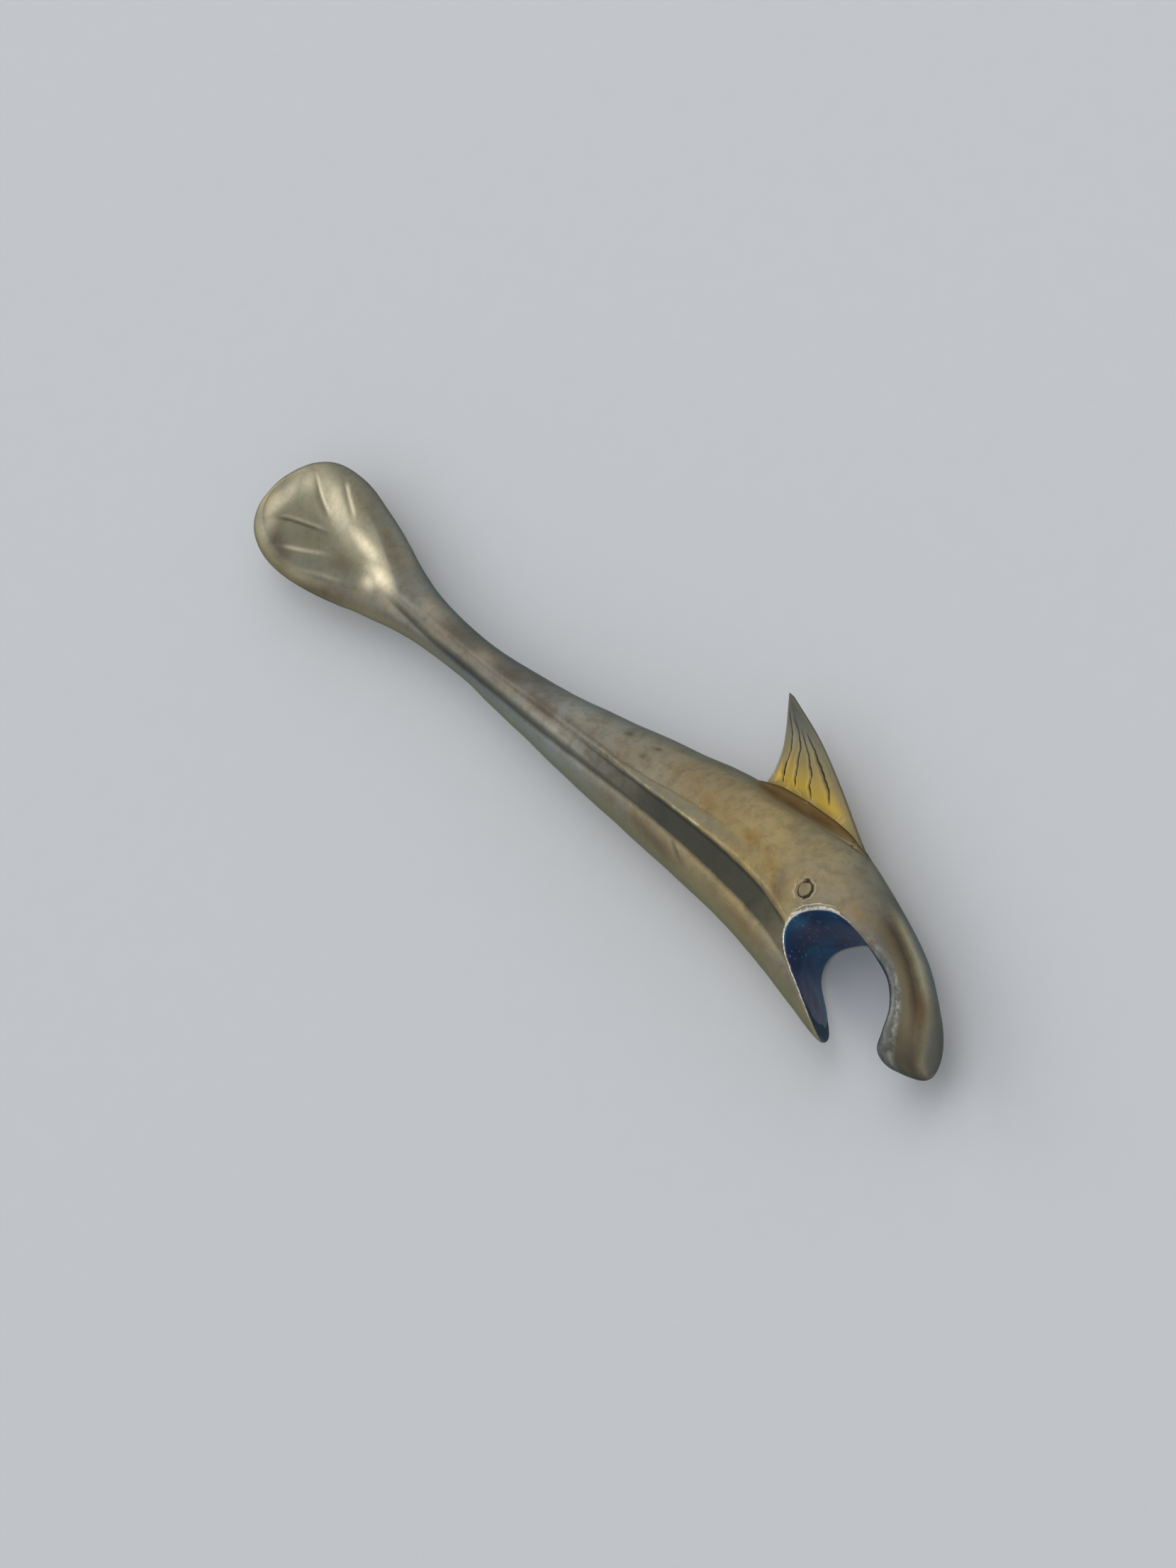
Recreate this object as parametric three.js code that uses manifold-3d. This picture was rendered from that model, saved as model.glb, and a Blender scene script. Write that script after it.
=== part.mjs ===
// A shark-shaped bottle opener in brass, lying on its flank. Millimetres, +Z up.
// +X runs along the fish to its nose, +Y is its back, and its middle plane is level.
// The outlines are drawn from a datum in the body, and the finished group is then moved so that
// its origin is at the middle of its underside.
import * as THREE from "three";
import { mergeVertices } from "three/addons/utils/BufferGeometryUtils.js";
import Module from "manifold-3d";

const wasm = await Module();
wasm.setup();

// ---------- Driving dimensions ----------
const GAP = 0.3; // between neighbouring pieces
const PIN_GAP = 0.2; // round each cross pin
const FLAT_HALF = 6.1; // from the middle plane to the small flat land on each flank
const OUTSIDE = 30; // a cutter's reach past the body
const ALL_ROUND = 100; // past every edge of the fish

// Ribs across the fish: back point, belly point, half thickness, squareness of the section.
const RIBS = [
  { back: [-78.9, 0.9], belly: [-78.9, 0.7], half: 0.3, square: 2.6 },
  { back: [-77.9, 4.2], belly: [-78.4, -2.6], half: 1.3, square: 2.6 },
  { back: [-75.6, 7.5], belly: [-76.4, -5.3], half: 1.7, square: 2.6 },
  { back: [-71.8, 9.5], belly: [-72.5, -6.95], half: 1.85, square: 2.6 },
  { back: [-66.5, 9.95], belly: [-67.0, -7.4], half: 1.9, square: 2.6 },
  { back: [-60.0, 9.0], belly: [-60.0, -6.6], half: 2.0, square: 2.5 },
  { back: [-52.0, 7.0], belly: [-52.0, -4.9], half: 2.3, square: 2.4 },
  { back: [-43.0, 4.55], belly: [-43.0, -3.1], half: 2.7, square: 2.2 },
  { back: [-32.0, 3.7], belly: [-32.0, -2.35], half: 3.0, square: 2 },
  { back: [-20.0, 4.45], belly: [-20.0, -2.7], half: 4.1, square: 2 },
  { back: [-5.0, 6.75], belly: [-5.0, -3.45], half: 5.5, square: 2 },
  { back: [10.0, 9.8], belly: [10.0, -3.9], half: 6.3, square: 2 },
  { back: [22.0, 12.1], belly: [22.0, -4.2], half: 6.4, square: 2 },
  { back: [33.0, 13.2], belly: [33.0, -4.75], half: 6.3, square: 2 },
  { back: [42.0, 13.35], belly: [42.0, -5.95], half: 6.1, square: 2 },
  { back: [49.0, 11.75], belly: [49.0, -7.1], half: 5.8, square: 2 },
  { back: [55.5, 9.8], belly: [56.0, -8.1], half: 5.2, square: 2 },
  { back: [61.5, 7.3], belly: [61.0, -6.7], half: 4.5, square: 2.1 },
  { back: [66.0, 4.5], belly: [65.5, -5.25], half: 3.9, square: 2.2 },
  { back: [69.2, 1.7], belly: [68.7, -4.45], half: 3.2, square: 2.3 },
  { back: [71.1, -1.2], belly: [70.6, -3.75], half: 1.9, square: 2.3 },
  { back: [71.5, -2.6], belly: [71.4, -2.8], half: 0.3, square: 2.3 },
];
const BODY_STATIONS = 64;
const BODY_SIDES = 28;

// The mouth's wall, from below the lower lip round the throat to below the nose.
const MOUTH_WALL = [
  [58.2, -9.6],
  [55.9, -7.6],
  [51.3, -5.0],
  [46.2, -2.2],
  [44.4, 0.6],
  [45.6, 3.2],
  [49.0, 5.2],
  [54.0, 4.9],
  [59.3, 3.1],
  [62.5, 0.5],
  [63.7, -2.4],
  [63.9, -4.6],
  [65.2, -7.4],
];
const MOUTH_STEPS = 44;
const MOUTH_FLOOR = -16; // the cutter's lower edge, well below the jaws
const ENAMEL_THICK = 0.8;
const ENAMEL_INSET = 0.7; // metal left between the enamel and the outer surface
const ENAMEL_FROM = 0.13; // fractions of the mouth's wall that the enamel covers
const ENAMEL_TO = 0.62;

// The tail's thumb dish, hollowed on both sides.
const DISH = { x: -62.5, y: 1.1, long: 14.5, wide: 6.5, deep: 1.0, above: 2.1 };

// The dorsal fin: a tapered plate with a tang below it.
const FIN_REAR_EDGE = [
  [23.2, 12.0],
  [22.9, 14.0],
  [21.7, 16.7],
  [19.8, 19.2],
  [16.1, 23.2],
];
const FIN_FRONT_EDGE = [
  [24.9, 20.95],
  [32.4, 17.9],
  [38.8, 14.95],
  [43.2, 13.0],
];
const FIN_TIP_FRONT = [17.2, 23.15];
const TANG = { rear: 26, front: 40, bottom: 9.6, rearTop: 12, frontTop: 12.6 };
const FIN_REAR_STEPS = 12;
const FIN_FRONT_STEPS = 14;
const FIN_HALF_AT_TANG = 1.25;
const FIN_HALF_AT_TIP = 0.45;
const FIN_TIP_Y = 23.2;

// The braze collar round the fin's root, let into the back.
const COLLAR_PLAN = [
  { x: 22.2, half: 0.9 },
  { x: 23.6, half: 2.4 },
  { x: 26.0, half: 3.4 },
  { x: 30.0, half: 3.7 },
  { x: 34.0, half: 3.3 },
  { x: 39.0, half: 2.5 },
  { x: 43.0, half: 1.6 },
  { x: 44.4, half: 0.8 },
];
const COLLAR_BOTTOM = 10.5;
const CREST = { rearX: 22, rearY: 12.1, frontX: 42, frontY: 13.35 };
const UPSTAND = [
  { x: 23.2, rise: 0.6 },
  { x: 31.0, rise: 1.5 },
  { x: 39.0, rise: 0.9 },
  { x: 43.0, rise: 0.15 },
]; // the fillet's height above the crest, along the root
const UPSTAND_FOOT = 1.9; // half width where the fillet leaves the crest
const UPSTAND_TOP = 1.55; // half width at its top
const UPSTAND_SUNK = 1; // how far the fillet reaches below the crest, so that it joins the collar

const PIN_RADIUS = 0.45;
const PIN_HALF_LENGTH = 1.85;
const PIN_REAR = [31.0, 13.35];
const PIN_FRONT = [41.2, 13.15];
const PIN_SIDES = 16;

const EYE = { x: 43.2, y: 5.1, radius: 1.05, inner: 4.2, outer: 5.95 };
const EYE_SIDES = 20;

// ---------- Helpers ----------
const vec = ([x, y]) => new THREE.Vector3(x, y, 0);

// A closed geometry as a solid that can be joined and cut.
function solid(geometry) {
  const bare = geometry.clone();
  bare.deleteAttribute("normal");
  bare.deleteAttribute("uv");
  const merged = mergeVertices(bare, 1e-4);
  return new wasm.Manifold(
    new wasm.Mesh({
      numProp: 3,
      vertProperties: merged.attributes.position.array,
      triVerts: new Uint32Array(merged.index.array),
    }),
  );
}

function piece(name, body, material) {
  const mesh = body.getMesh();
  const geometry = new THREE.BufferGeometry();
  geometry.setAttribute("position", new THREE.BufferAttribute(mesh.vertProperties, 3));
  geometry.setIndex(new THREE.BufferAttribute(mesh.triVerts, 1));
  geometry.computeVertexNormals();
  const made = new THREE.Mesh(geometry, material);
  made.name = name;
  return made;
}

function spline(points) {
  return new THREE.CatmullRomCurve3(points, false, "catmullrom", 0.5);
}

const backLine = spline(RIBS.map((rib) => vec(rib.back)));
const bellyLine = spline(RIBS.map((rib) => vec(rib.belly)));
const sectionLine = spline(RIBS.map((rib) => new THREE.Vector3(rib.half, rib.square, 0)));

function powered(value, square) {
  return Math.sign(value) * Math.abs(value) ** (2 / square);
}

// The whole fish without its mouth: a loft over the ribs, shrunk by inset all round.
function fish(inset) {
  const vertices = [];
  const faces = [];
  for (let i = 0; i <= BODY_STATIONS; i++) {
    const t = i / BODY_STATIONS;
    const back = backLine.getPoint(t);
    const belly = bellyLine.getPoint(t);
    const section = sectionLine.getPoint(t);
    const middle = back.clone().add(belly).multiplyScalar(0.5);
    const up = back.clone().sub(belly).multiplyScalar(0.5);
    const tall = Math.max(up.length() - inset, 0.02);
    const half = Math.max(section.x - inset, 0.02);
    up.normalize();
    for (let j = 0; j < BODY_SIDES; j++) {
      const angle = (2 * Math.PI * j) / BODY_SIDES;
      const rise = tall * powered(Math.cos(angle), section.y);
      const out = half * powered(Math.sin(angle), section.y);
      vertices.push(middle.x + up.x * rise, middle.y + up.y * rise, out);
    }
  }
  for (let i = 0; i < BODY_STATIONS; i++) {
    for (let j = 0; j < BODY_SIDES; j++) {
      const a = i * BODY_SIDES + j;
      const b = i * BODY_SIDES + ((j + 1) % BODY_SIDES);
      faces.push(a, b, a + BODY_SIDES);
      faces.push(b, b + BODY_SIDES, a + BODY_SIDES);
    }
  }
  const last = BODY_STATIONS * BODY_SIDES;
  for (let j = 1; j < BODY_SIDES - 1; j++) {
    faces.push(0, j + 1, j);
    faces.push(last, last + j, last + j + 1);
  }
  const geometry = new THREE.BufferGeometry();
  geometry.setAttribute("position", new THREE.Float32BufferAttribute(vertices, 3));
  geometry.setIndex(faces);
  return solid(geometry);
}

// A plate of the given outline, centred on the middle plane.
function plate(points, half) {
  const shape = new THREE.Shape(points.map(([x, y]) => new THREE.Vector2(x, y)));
  const geometry = new THREE.ExtrudeGeometry(shape, { depth: 2 * half, bevelEnabled: false });
  return solid(geometry.translate(0, 0, -half));
}

// A round bar along Z, from one height to another.
function bar([x, y], radius, low, high, sides) {
  const geometry = new THREE.CylinderGeometry(radius, radius, high - low, sides);
  geometry.rotateX(Math.PI / 2);
  return solid(geometry.translate(x, y, (low + high) / 2));
}

// The unit normal to the left of the way from one point to the next.
function leftOf(from, to) {
  const dx = to[0] - from[0];
  const dy = to[1] - from[1];
  const length = Math.hypot(dx, dy);
  return [-dy / length, dx / length];
}

// A line of points moved sideways, to the left of its direction, with mitred corners.
function moved(points, distance) {
  const last = points.length - 1;
  return points.map((point, i) => {
    const before = leftOf(points[Math.max(i - 1, 0)], points[Math.max(i, 1)]);
    const after = leftOf(points[Math.min(i, last - 1)], points[Math.min(i + 1, last)]);
    const mitre = distance / (1 + before[0] * after[0] + before[1] * after[1]);
    return [point[0] + (before[0] + after[0]) * mitre, point[1] + (before[1] + after[1]) * mitre];
  });
}

// ---------- The mouth and its enamel ----------
const mouthLine = spline(MOUTH_WALL.map(vec))
  .getPoints(MOUTH_STEPS)
  .map((point) => [point.x, point.y]);
const mouthFirst = mouthLine[0];
const mouthLast = mouthLine[mouthLine.length - 1];

function mouthCutter() {
  const floor = [
    [mouthLast[0], MOUTH_FLOOR],
    [mouthFirst[0], MOUTH_FLOOR],
  ];
  return plate([...mouthLine, ...floor].reverse(), OUTSIDE);
}

// The strip behind the mouth's wall, from it to a depth in the metal.
function wallStrip(near, deep, shorter) {
  const from = Math.round(ENAMEL_FROM * MOUTH_STEPS) + shorter;
  const to = Math.round(ENAMEL_TO * MOUTH_STEPS) - shorter;
  const inner = moved(mouthLine, near).slice(from, to + 1);
  const outer = moved(mouthLine, deep).slice(from, to + 1);
  return plate([...inner, ...outer.reverse()], OUTSIDE);
}

function enamelLining() {
  return wallStrip(0, ENAMEL_THICK, 1).intersect(fish(ENAMEL_INSET));
}

function enamelPocket() {
  return wallStrip(-1, ENAMEL_THICK + GAP, 0).intersect(fish(ENAMEL_INSET - GAP));
}

// ---------- The dorsal fin, its collar and its pins ----------
function finOutline(grow) {
  const rear = spline(FIN_REAR_EDGE.map(vec)).getPoints(FIN_REAR_STEPS);
  const front = spline([FIN_TIP_FRONT, ...FIN_FRONT_EDGE].map(vec)).getPoints(FIN_FRONT_STEPS);
  const tang = [
    [TANG.front, TANG.frontTop],
    [TANG.front, TANG.bottom],
    [TANG.rear, TANG.bottom],
    [TANG.rear, TANG.rearTop],
  ];
  const edge = [...rear, ...front].map((point) => [point.x, point.y]);
  const closed = [...edge, ...tang];
  const count = closed.length;
  const looped = [closed[count - 1], ...closed, closed[0]];
  return moved(looped, grow).slice(1, count + 1);
}

// The fin tapers from its tang to its tip; grow widens it to make its slot.
function finPlate(grow) {
  const outline = finOutline(grow).reverse();
  const shape = new THREE.Shape(outline.map(([x, y]) => new THREE.Vector2(x, y)));
  const geometry = new THREE.ExtrudeGeometry(shape, { depth: 2, bevelEnabled: false });
  geometry.translate(0, 0, -1);
  const place = geometry.attributes.position;
  for (let i = 0; i < place.count; i++) {
    const rise = (place.getY(i) - TANG.bottom) / (FIN_TIP_Y - TANG.bottom);
    const half = THREE.MathUtils.lerp(FIN_HALF_AT_TANG, FIN_HALF_AT_TIP, rise) + grow;
    place.setZ(i, place.getZ(i) * half);
  }
  return solid(geometry);
}

function crestAt(x) {
  const t = (x - CREST.rearX) / (CREST.frontX - CREST.rearX);
  return THREE.MathUtils.lerp(CREST.rearY, CREST.frontY, t);
}

// The collar's boat-shaped plan, carried straight up from its bottom.
function collarBlock(grow) {
  const side = COLLAR_PLAN.map(({ x, half }) => [x, half]);
  const other = COLLAR_PLAN.map(({ x, half }) => [x, -half]).reverse();
  const loop = [...side, ...other];
  const count = loop.length;
  const wide = moved([loop[count - 1], ...loop, loop[0]], grow).slice(1, count + 1);
  const shape = new THREE.Shape(wide.reverse().map(([x, z]) => new THREE.Vector2(x, -z)));
  const geometry = new THREE.ExtrudeGeometry(shape, { depth: OUTSIDE, bevelEnabled: false });
  geometry.rotateX(-Math.PI / 2);
  return solid(geometry.translate(0, COLLAR_BOTTOM - grow, 0));
}

// The fillet that stands above the crest on both sides of the fin.
function upstand() {
  const vertices = [];
  for (const { x, rise } of UPSTAND) {
    const foot = crestAt(x) - UPSTAND_SUNK;
    const top = crestAt(x) + rise;
    vertices.push(x, foot, -UPSTAND_FOOT);
    vertices.push(x, foot, UPSTAND_FOOT);
    vertices.push(x, top, UPSTAND_TOP);
    vertices.push(x, top, -UPSTAND_TOP);
  }
  const last = 4 * (UPSTAND.length - 1);
  const faces = [0, 1, 2, 0, 2, 3, last, last + 2, last + 1, last, last + 3, last + 2];
  for (let start = 0; start < last; start += 4) {
    for (let j = 0; j < 4; j++) {
      const a = start + j;
      const b = start + ((j + 1) % 4);
      faces.push(a, a + 4, b, b, a + 4, b + 4);
    }
  }
  const geometry = new THREE.BufferGeometry();
  geometry.setAttribute("position", new THREE.Float32BufferAttribute(vertices, 3));
  geometry.setIndex(faces);
  return solid(geometry);
}

function pinAt(place, grow) {
  return bar(place, PIN_RADIUS + grow, -PIN_HALF_LENGTH - grow, PIN_HALF_LENGTH + grow, PIN_SIDES);
}

function eyeStud(side, grow) {
  const ends = [side * (EYE.inner - grow), side * (EYE.outer + 3 * grow)];
  const low = Math.min(...ends);
  const high = Math.max(...ends);
  return bar([EYE.x, EYE.y], EYE.radius + grow, low, high, EYE_SIDES);
}

function dish(side) {
  const geometry = new THREE.SphereGeometry(1, 32, 16);
  geometry.scale(DISH.long, DISH.wide, DISH.deep);
  return solid(geometry.translate(DISH.x, DISH.y, side * DISH.above));
}

// ---------- The pieces ----------
const pinHoles = pinAt(PIN_FRONT, PIN_GAP).add(pinAt(PIN_REAR, PIN_GAP));
const land = plate(
  [
    [-ALL_ROUND, -ALL_ROUND],
    [ALL_ROUND, -ALL_ROUND],
    [ALL_ROUND, ALL_ROUND],
    [-ALL_ROUND, ALL_ROUND],
  ],
  FLAT_HALF,
);

const wholeFish = fish(0);
const bodyCasting = wholeFish
  .intersect(land)
  .subtract(mouthCutter())
  .subtract(enamelPocket())
  .subtract(dish(1))
  .subtract(dish(-1))
  .subtract(collarBlock(GAP))
  .subtract(finPlate(GAP))
  .subtract(eyeStud(1, GAP))
  .subtract(eyeStud(-1, GAP));
const finBraze = wholeFish
  .intersect(collarBlock(0))
  .add(upstand())
  .subtract(finPlate(GAP))
  .subtract(pinHoles);
const dorsalFin = finPlate(0).subtract(pinHoles);

const metal = (color, roughness) =>
  new THREE.MeshStandardMaterial({ color, roughness, metalness: 1 });
const agedBrass = () => metal(0x8d7b5c, 0.34);

const opener = new THREE.Group();
opener.add(
  piece("body_casting", bodyCasting, agedBrass()),
  piece("dorsal_fin", dorsalFin, metal(0x9f834a, 0.3)),
  piece("fin_braze", finBraze, metal(0x6a5537, 0.45)),
  piece("fin_pin_front", pinAt(PIN_FRONT, 0), agedBrass()),
  piece("fin_pin_rear", pinAt(PIN_REAR, 0), agedBrass()),
  piece(
    "mouth_enamel",
    enamelLining(),
    new THREE.MeshStandardMaterial({ color: 0x24405a, roughness: 0.3, metalness: 0 }),
  ),
  piece("eye_stud_near", eyeStud(1, 0), agedBrass()),
  piece("eye_stud_far", eyeStud(-1, 0), agedBrass()),
);

// The origin goes to the middle of the underside.
const box = new THREE.Box3().setFromObject(opener, true);
opener.position.set(-(box.min.x + box.max.x) / 2, -(box.min.y + box.max.y) / 2, -box.min.z);

export default opener;
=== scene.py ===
"""The looks of a shark-shaped brass bottle opener that lies on its flank."""

import math

import bpy
import numpy as np
from mathutils import Matrix, Vector

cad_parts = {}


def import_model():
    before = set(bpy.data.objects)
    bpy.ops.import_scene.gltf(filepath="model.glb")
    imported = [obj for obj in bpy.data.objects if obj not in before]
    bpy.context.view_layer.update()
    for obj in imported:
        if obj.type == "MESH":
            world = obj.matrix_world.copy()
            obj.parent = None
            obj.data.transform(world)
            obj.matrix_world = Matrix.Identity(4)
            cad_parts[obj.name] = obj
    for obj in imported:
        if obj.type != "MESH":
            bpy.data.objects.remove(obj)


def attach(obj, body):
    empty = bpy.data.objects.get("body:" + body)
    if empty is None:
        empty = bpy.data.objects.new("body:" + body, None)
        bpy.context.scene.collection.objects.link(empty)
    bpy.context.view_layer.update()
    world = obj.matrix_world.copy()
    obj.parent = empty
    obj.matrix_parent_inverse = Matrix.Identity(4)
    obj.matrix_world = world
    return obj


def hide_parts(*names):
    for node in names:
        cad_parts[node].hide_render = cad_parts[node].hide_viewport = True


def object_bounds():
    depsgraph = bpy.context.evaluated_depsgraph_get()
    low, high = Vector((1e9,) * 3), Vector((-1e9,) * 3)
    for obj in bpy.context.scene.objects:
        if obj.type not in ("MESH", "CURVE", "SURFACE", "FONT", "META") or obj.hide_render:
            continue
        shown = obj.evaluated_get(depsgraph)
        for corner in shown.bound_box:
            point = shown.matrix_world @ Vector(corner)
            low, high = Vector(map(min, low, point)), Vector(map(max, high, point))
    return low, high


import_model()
CAD_LOW, CAD_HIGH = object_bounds()

# --- Outlines ---
# They are in millimetres from a datum in the body: x towards the nose, y towards the back, z from the
# middle plane. world() turns them into metres.
MM = 0.001
FLAT_HALF = 6.1
TAIL_X = -78.9
NOSE_X = 71.5
FIN_TIP_Y = 23.2

# back x, back y, belly x, belly y, half thickness, squareness of the section
RIBS = [
    (-78.9, 0.9, -78.9, 0.7, 0.3, 2.6),
    (-77.9, 4.2, -78.4, -2.6, 1.3, 2.6),
    (-75.6, 7.5, -76.4, -5.3, 1.7, 2.6),
    (-71.8, 9.5, -72.5, -6.95, 1.85, 2.6),
    (-66.5, 9.95, -67, -7.4, 1.9, 2.6),
    (-60, 9, -60, -6.6, 2, 2.5),
    (-52, 7, -52, -4.9, 2.3, 2.4),
    (-43, 4.55, -43, -3.1, 2.7, 2.2),
    (-32, 3.7, -32, -2.35, 3, 2),
    (-20, 4.45, -20, -2.7, 4.1, 2),
    (-5, 6.75, -5, -3.45, 5.5, 2),
    (10, 9.8, 10, -3.9, 6.3, 2),
    (22, 12.1, 22, -4.2, 6.4, 2),
    (33, 13.2, 33, -4.75, 6.3, 2),
    (42, 13.35, 42, -5.95, 6.1, 2),
    (49, 11.75, 49, -7.1, 5.8, 2),
    (55.5, 9.8, 56, -8.1, 5.2, 2),
    (61.5, 7.3, 61, -6.7, 4.5, 2.1),
    (66, 4.5, 65.5, -5.25, 3.9, 2.2),
    (69.2, 1.7, 68.7, -4.45, 3.2, 2.3),
    (71.1, -1.2, 70.6, -3.75, 1.9, 2.3),
    (71.5, -2.6, 71.4, -2.8, 0.3, 2.3),
]

# The mouth's wall, from below the lower lip round the throat to below the nose.
MOUTH_WALL = [
    (58.2, -9.6),
    (55.9, -7.6),
    (51.3, -5),
    (46.2, -2.2),
    (44.4, 0.6),
    (45.6, 3.2),
    (49, 5.2),
    (54, 4.9),
    (59.3, 3.1),
    (62.5, 0.5),
    (63.7, -2.4),
    (63.9, -4.6),
    (65.2, -7.4),
]
MOUTH_FLOOR = -30
HEAD_STARTS = 40  # the mouth and its patina are ahead of this
TAIL_ENDS = -50  # the dish's engraved strokes are behind this
THROAT_EDGE = 0.5  # rounding of the mouth's near edge at the throat
JAW_EDGE = 2.6  # and on the upper jaw

# The crease along the flank: x, height of its sharp upper line, height of its soft lower line
CREASE = [
    (-50, 0.9, -0.3),
    (-36, 0.9, -1.1),
    (-22, 1, -1.1),
    (-8, 1.5, -1),
    (5, 1.9, -0.6),
    (17, 2.4, -0.3),
    (28, 2.6, -0.6),
    (37, 2.1, -1.2),
    (43, 0.7, -2.1),
    (48, -1, -3.4),
]
CREASE_DEPTH = [
    (-50, 0),
    (-40, 0.25),
    (-10, 0.4),
    (15, 0.6),
    (36, 0.6),
    (44, 0.35),
    (50, 0),
]

# The thumb dish: x, height of its middle, half width
DISH = [
    (-77.6, 0.6, 0),
    (-76.3, 0.9, 3.2),
    (-73.4, 1.2, 5.6),
    (-68.5, 1.3, 6.7),
    (-62, 1.1, 6.1),
    (-56, 0.9, 4.5),
    (-50.5, 0.7, 2.4),
    (-47, 0.6, 1.1),
    (-44.6, 0.55, 0),
]
DISH_DEPTH = 0.95

# Engraved strokes on the tail: the points of each, its depth, how much painted shade lies in it, how strong
# the painted highlight along its upper lip is
TAIL_RAYS = [
    ([(-74.3, -2), (-71.8, -0.95), (-68.2, 0.1), (-63.8, 1.2)], 0.09, 0.62, 0.3),
    ([(-69.6, -4.9), (-65.3, -3.25), (-61, -1.4)], 0.07, 0.1, 0.5),
    ([(-74, 6.5), (-71.3, 4.8), (-68.5, 3.5), (-65.4, 2.6)], 0.12, 0.5, 0.65),
    ([(-68.4, 8), (-65, 6.1), (-61.6, 4.4)], 0.1, 0.2, 0.6),
    ([(-64, -5.7), (-59.9, -4.4), (-55.5, -3.1)], 0.05, 0.08, 0.2),
]
TAIL_RAY_WIDTH = 0.32
# The light beside each stroke is a painted highlight.
TAIL_RAY_HIGHLIGHT_OFFSET = 0.45  # how far beside a stroke its bright lip lies

FIN_REAR_EDGE = [(23.2, 12), (22.9, 14), (21.7, 16.7), (19.8, 19.2), (16.1, 23.2)]
FIN_FRONT_EDGE = [(17.2, 23.15), (24.9, 20.95), (32.4, 17.9), (38.8, 14.95), (43.2, 13)]
TANG = [(40, 12.6), (40, 9.8), (26, 9.8), (26, 12)]
FIN_HALF_AT_ROOT = 1.2
FIN_HALF_AT_TIP = 0.45
FIN_ROOT_Y = 9.6
FIN_HEIGHT = 10.7  # above the back
FIN_RAYS = [
    [(17.6, 21.9), (20.6, 19.8), (22.2, 18.4), (23.4, 16.7), (24.6, 14.8), (25.7, 13.6)],
    [(19.2, 21.3), (21.9, 20), (23.6, 18.8), (24.9, 17.3), (26.3, 15.5), (27.7, 14.2)],
    [(21, 20.9), (24.5, 19.1), (26.5, 17.9), (28.2, 16.7), (29.3, 15.4), (31.1, 14.1)],
    [(22.4, 20.7), (25, 19.7), (26.7, 19), (29.4, 17.7), (31.4, 16.8), (33.8, 15)],
]
# The first ray's blue is painted reflection.
BLUE_STRETCH = (24.3, 15.6, 0.9, 1.5)  # where the first ray is wide and blue: x, y and half sizes
RAY_DEPTH = 0.24
RAY_SLOPE = 0.52  # how far the ray's gentle side runs, towards the tail
RAY_WALL = 0.13  # and its steep side, towards the head

COLLAR_PLAN = [
    (22.6, 0),
    (23.1, 2.4),
    (24.6, 3.4),
    (28, 3.75),
    (33, 3.4),
    (38, 2.6),
    (42, 1.7),
    (44.6, 0),
]
COLLAR_BOTTOM = 10.5
COLLAR_PROUD = 0.015
UPSTAND = [(22.8, 0.1), (26, 0.7), (31, 0.9), (36, 0.8), (40, 0.55), (44, 0.05)]
PINS = {"fin_pin_rear": (31, 13.35), "fin_pin_front": (41.2, 13.15)}
PIN_RADIUS = 0.42
PIN_SIDES = 32
EYE = (43.2, 5.1)
EYE_STROKES = 9

# A faint line above the crease, where the warm colour of the cheek ends
SEAM = [(-20, 2.6), (-6, 2.4), (6, 2.7), (13, 3.3), (18.7, 4.2), (24.2, 4.8), (34, 5)]

# Dark marks: stains in the patina, and on the tail darker patches round the dish. x, y, half length, half
# width, turn in degrees, strength
STAINS = [
    (4.2, 6.1, 0.9, 0.5, 10, 0.7),
    (9.8, 6.9, 0.5, 0.3, 20, 0.8),
    (9.2, 4.9, 0.6, 0.35, 0, 0.6),
    (22.4, -1.5, 1.6, 0.28, -27, 0.9),
    (17.5, -2.2, 4.5, 0.8, -8, 0.45),
    (34.9, 6, 0.8, 0.6, 0, 0.35),
    (-18.5, 2.2, 3.5, 1.1, 5, 0.5),
    (-2, 2.3, 9, 0.75, 3, 0.55),
    (40.5, 2.6, 2.2, 1, -40, 0.6),
    (56, 8.7, 5, 0.8, -24, 0.6),
    (-66.8, -0.9, 4.5, 2, 0, 0.14),
    (-10, 1.6, 6, 1.1, 0, 0.75),
    (-57.3, -0.9, 4, 1.5, 5, 0.45),
    (-69.5, -4.8, 4, 1.5, -25, 0.7),
    (-60.5, 7.8, 7, 1.3, -20, 0.3),
    (-52, 5, 5, 0.9, -20, 0.35),
    (-57.5, -5.4, 7, 1.4, 22, 0.65),
    (-31.9, 1.8, 4.2, 1.3, 0, 0.45),
    (-13.4, 3.4, 4.5, 1.1, -4, 0.45),
    (-27.9, -0.8, 6, 0.7, 0, 0.35),
]
RUSTS = [
    (31.4, 5.8, 1.7, 0.9, 0, 0.8),
    (24, 6.2, 7, 1.5, 0, 0.4),
    (27.5, 4.3, 6, 0.9, -4, 0.45),
    (38, 4.2, 3.5, 1.2, -20, 0.45),
    (37, -3.2, 6.5, 1, -8, 0.55),
    (17, -2, 5, 1.2, -4, 0.4),
    (55.2, 5.3, 0.8, 0.35, -25, 0.6),
    (52, 6.6, 3, 0.8, -12, 0.35),
    (66.7, 2.8, 2.2, 0.7, -45, 0.9),
]
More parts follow.
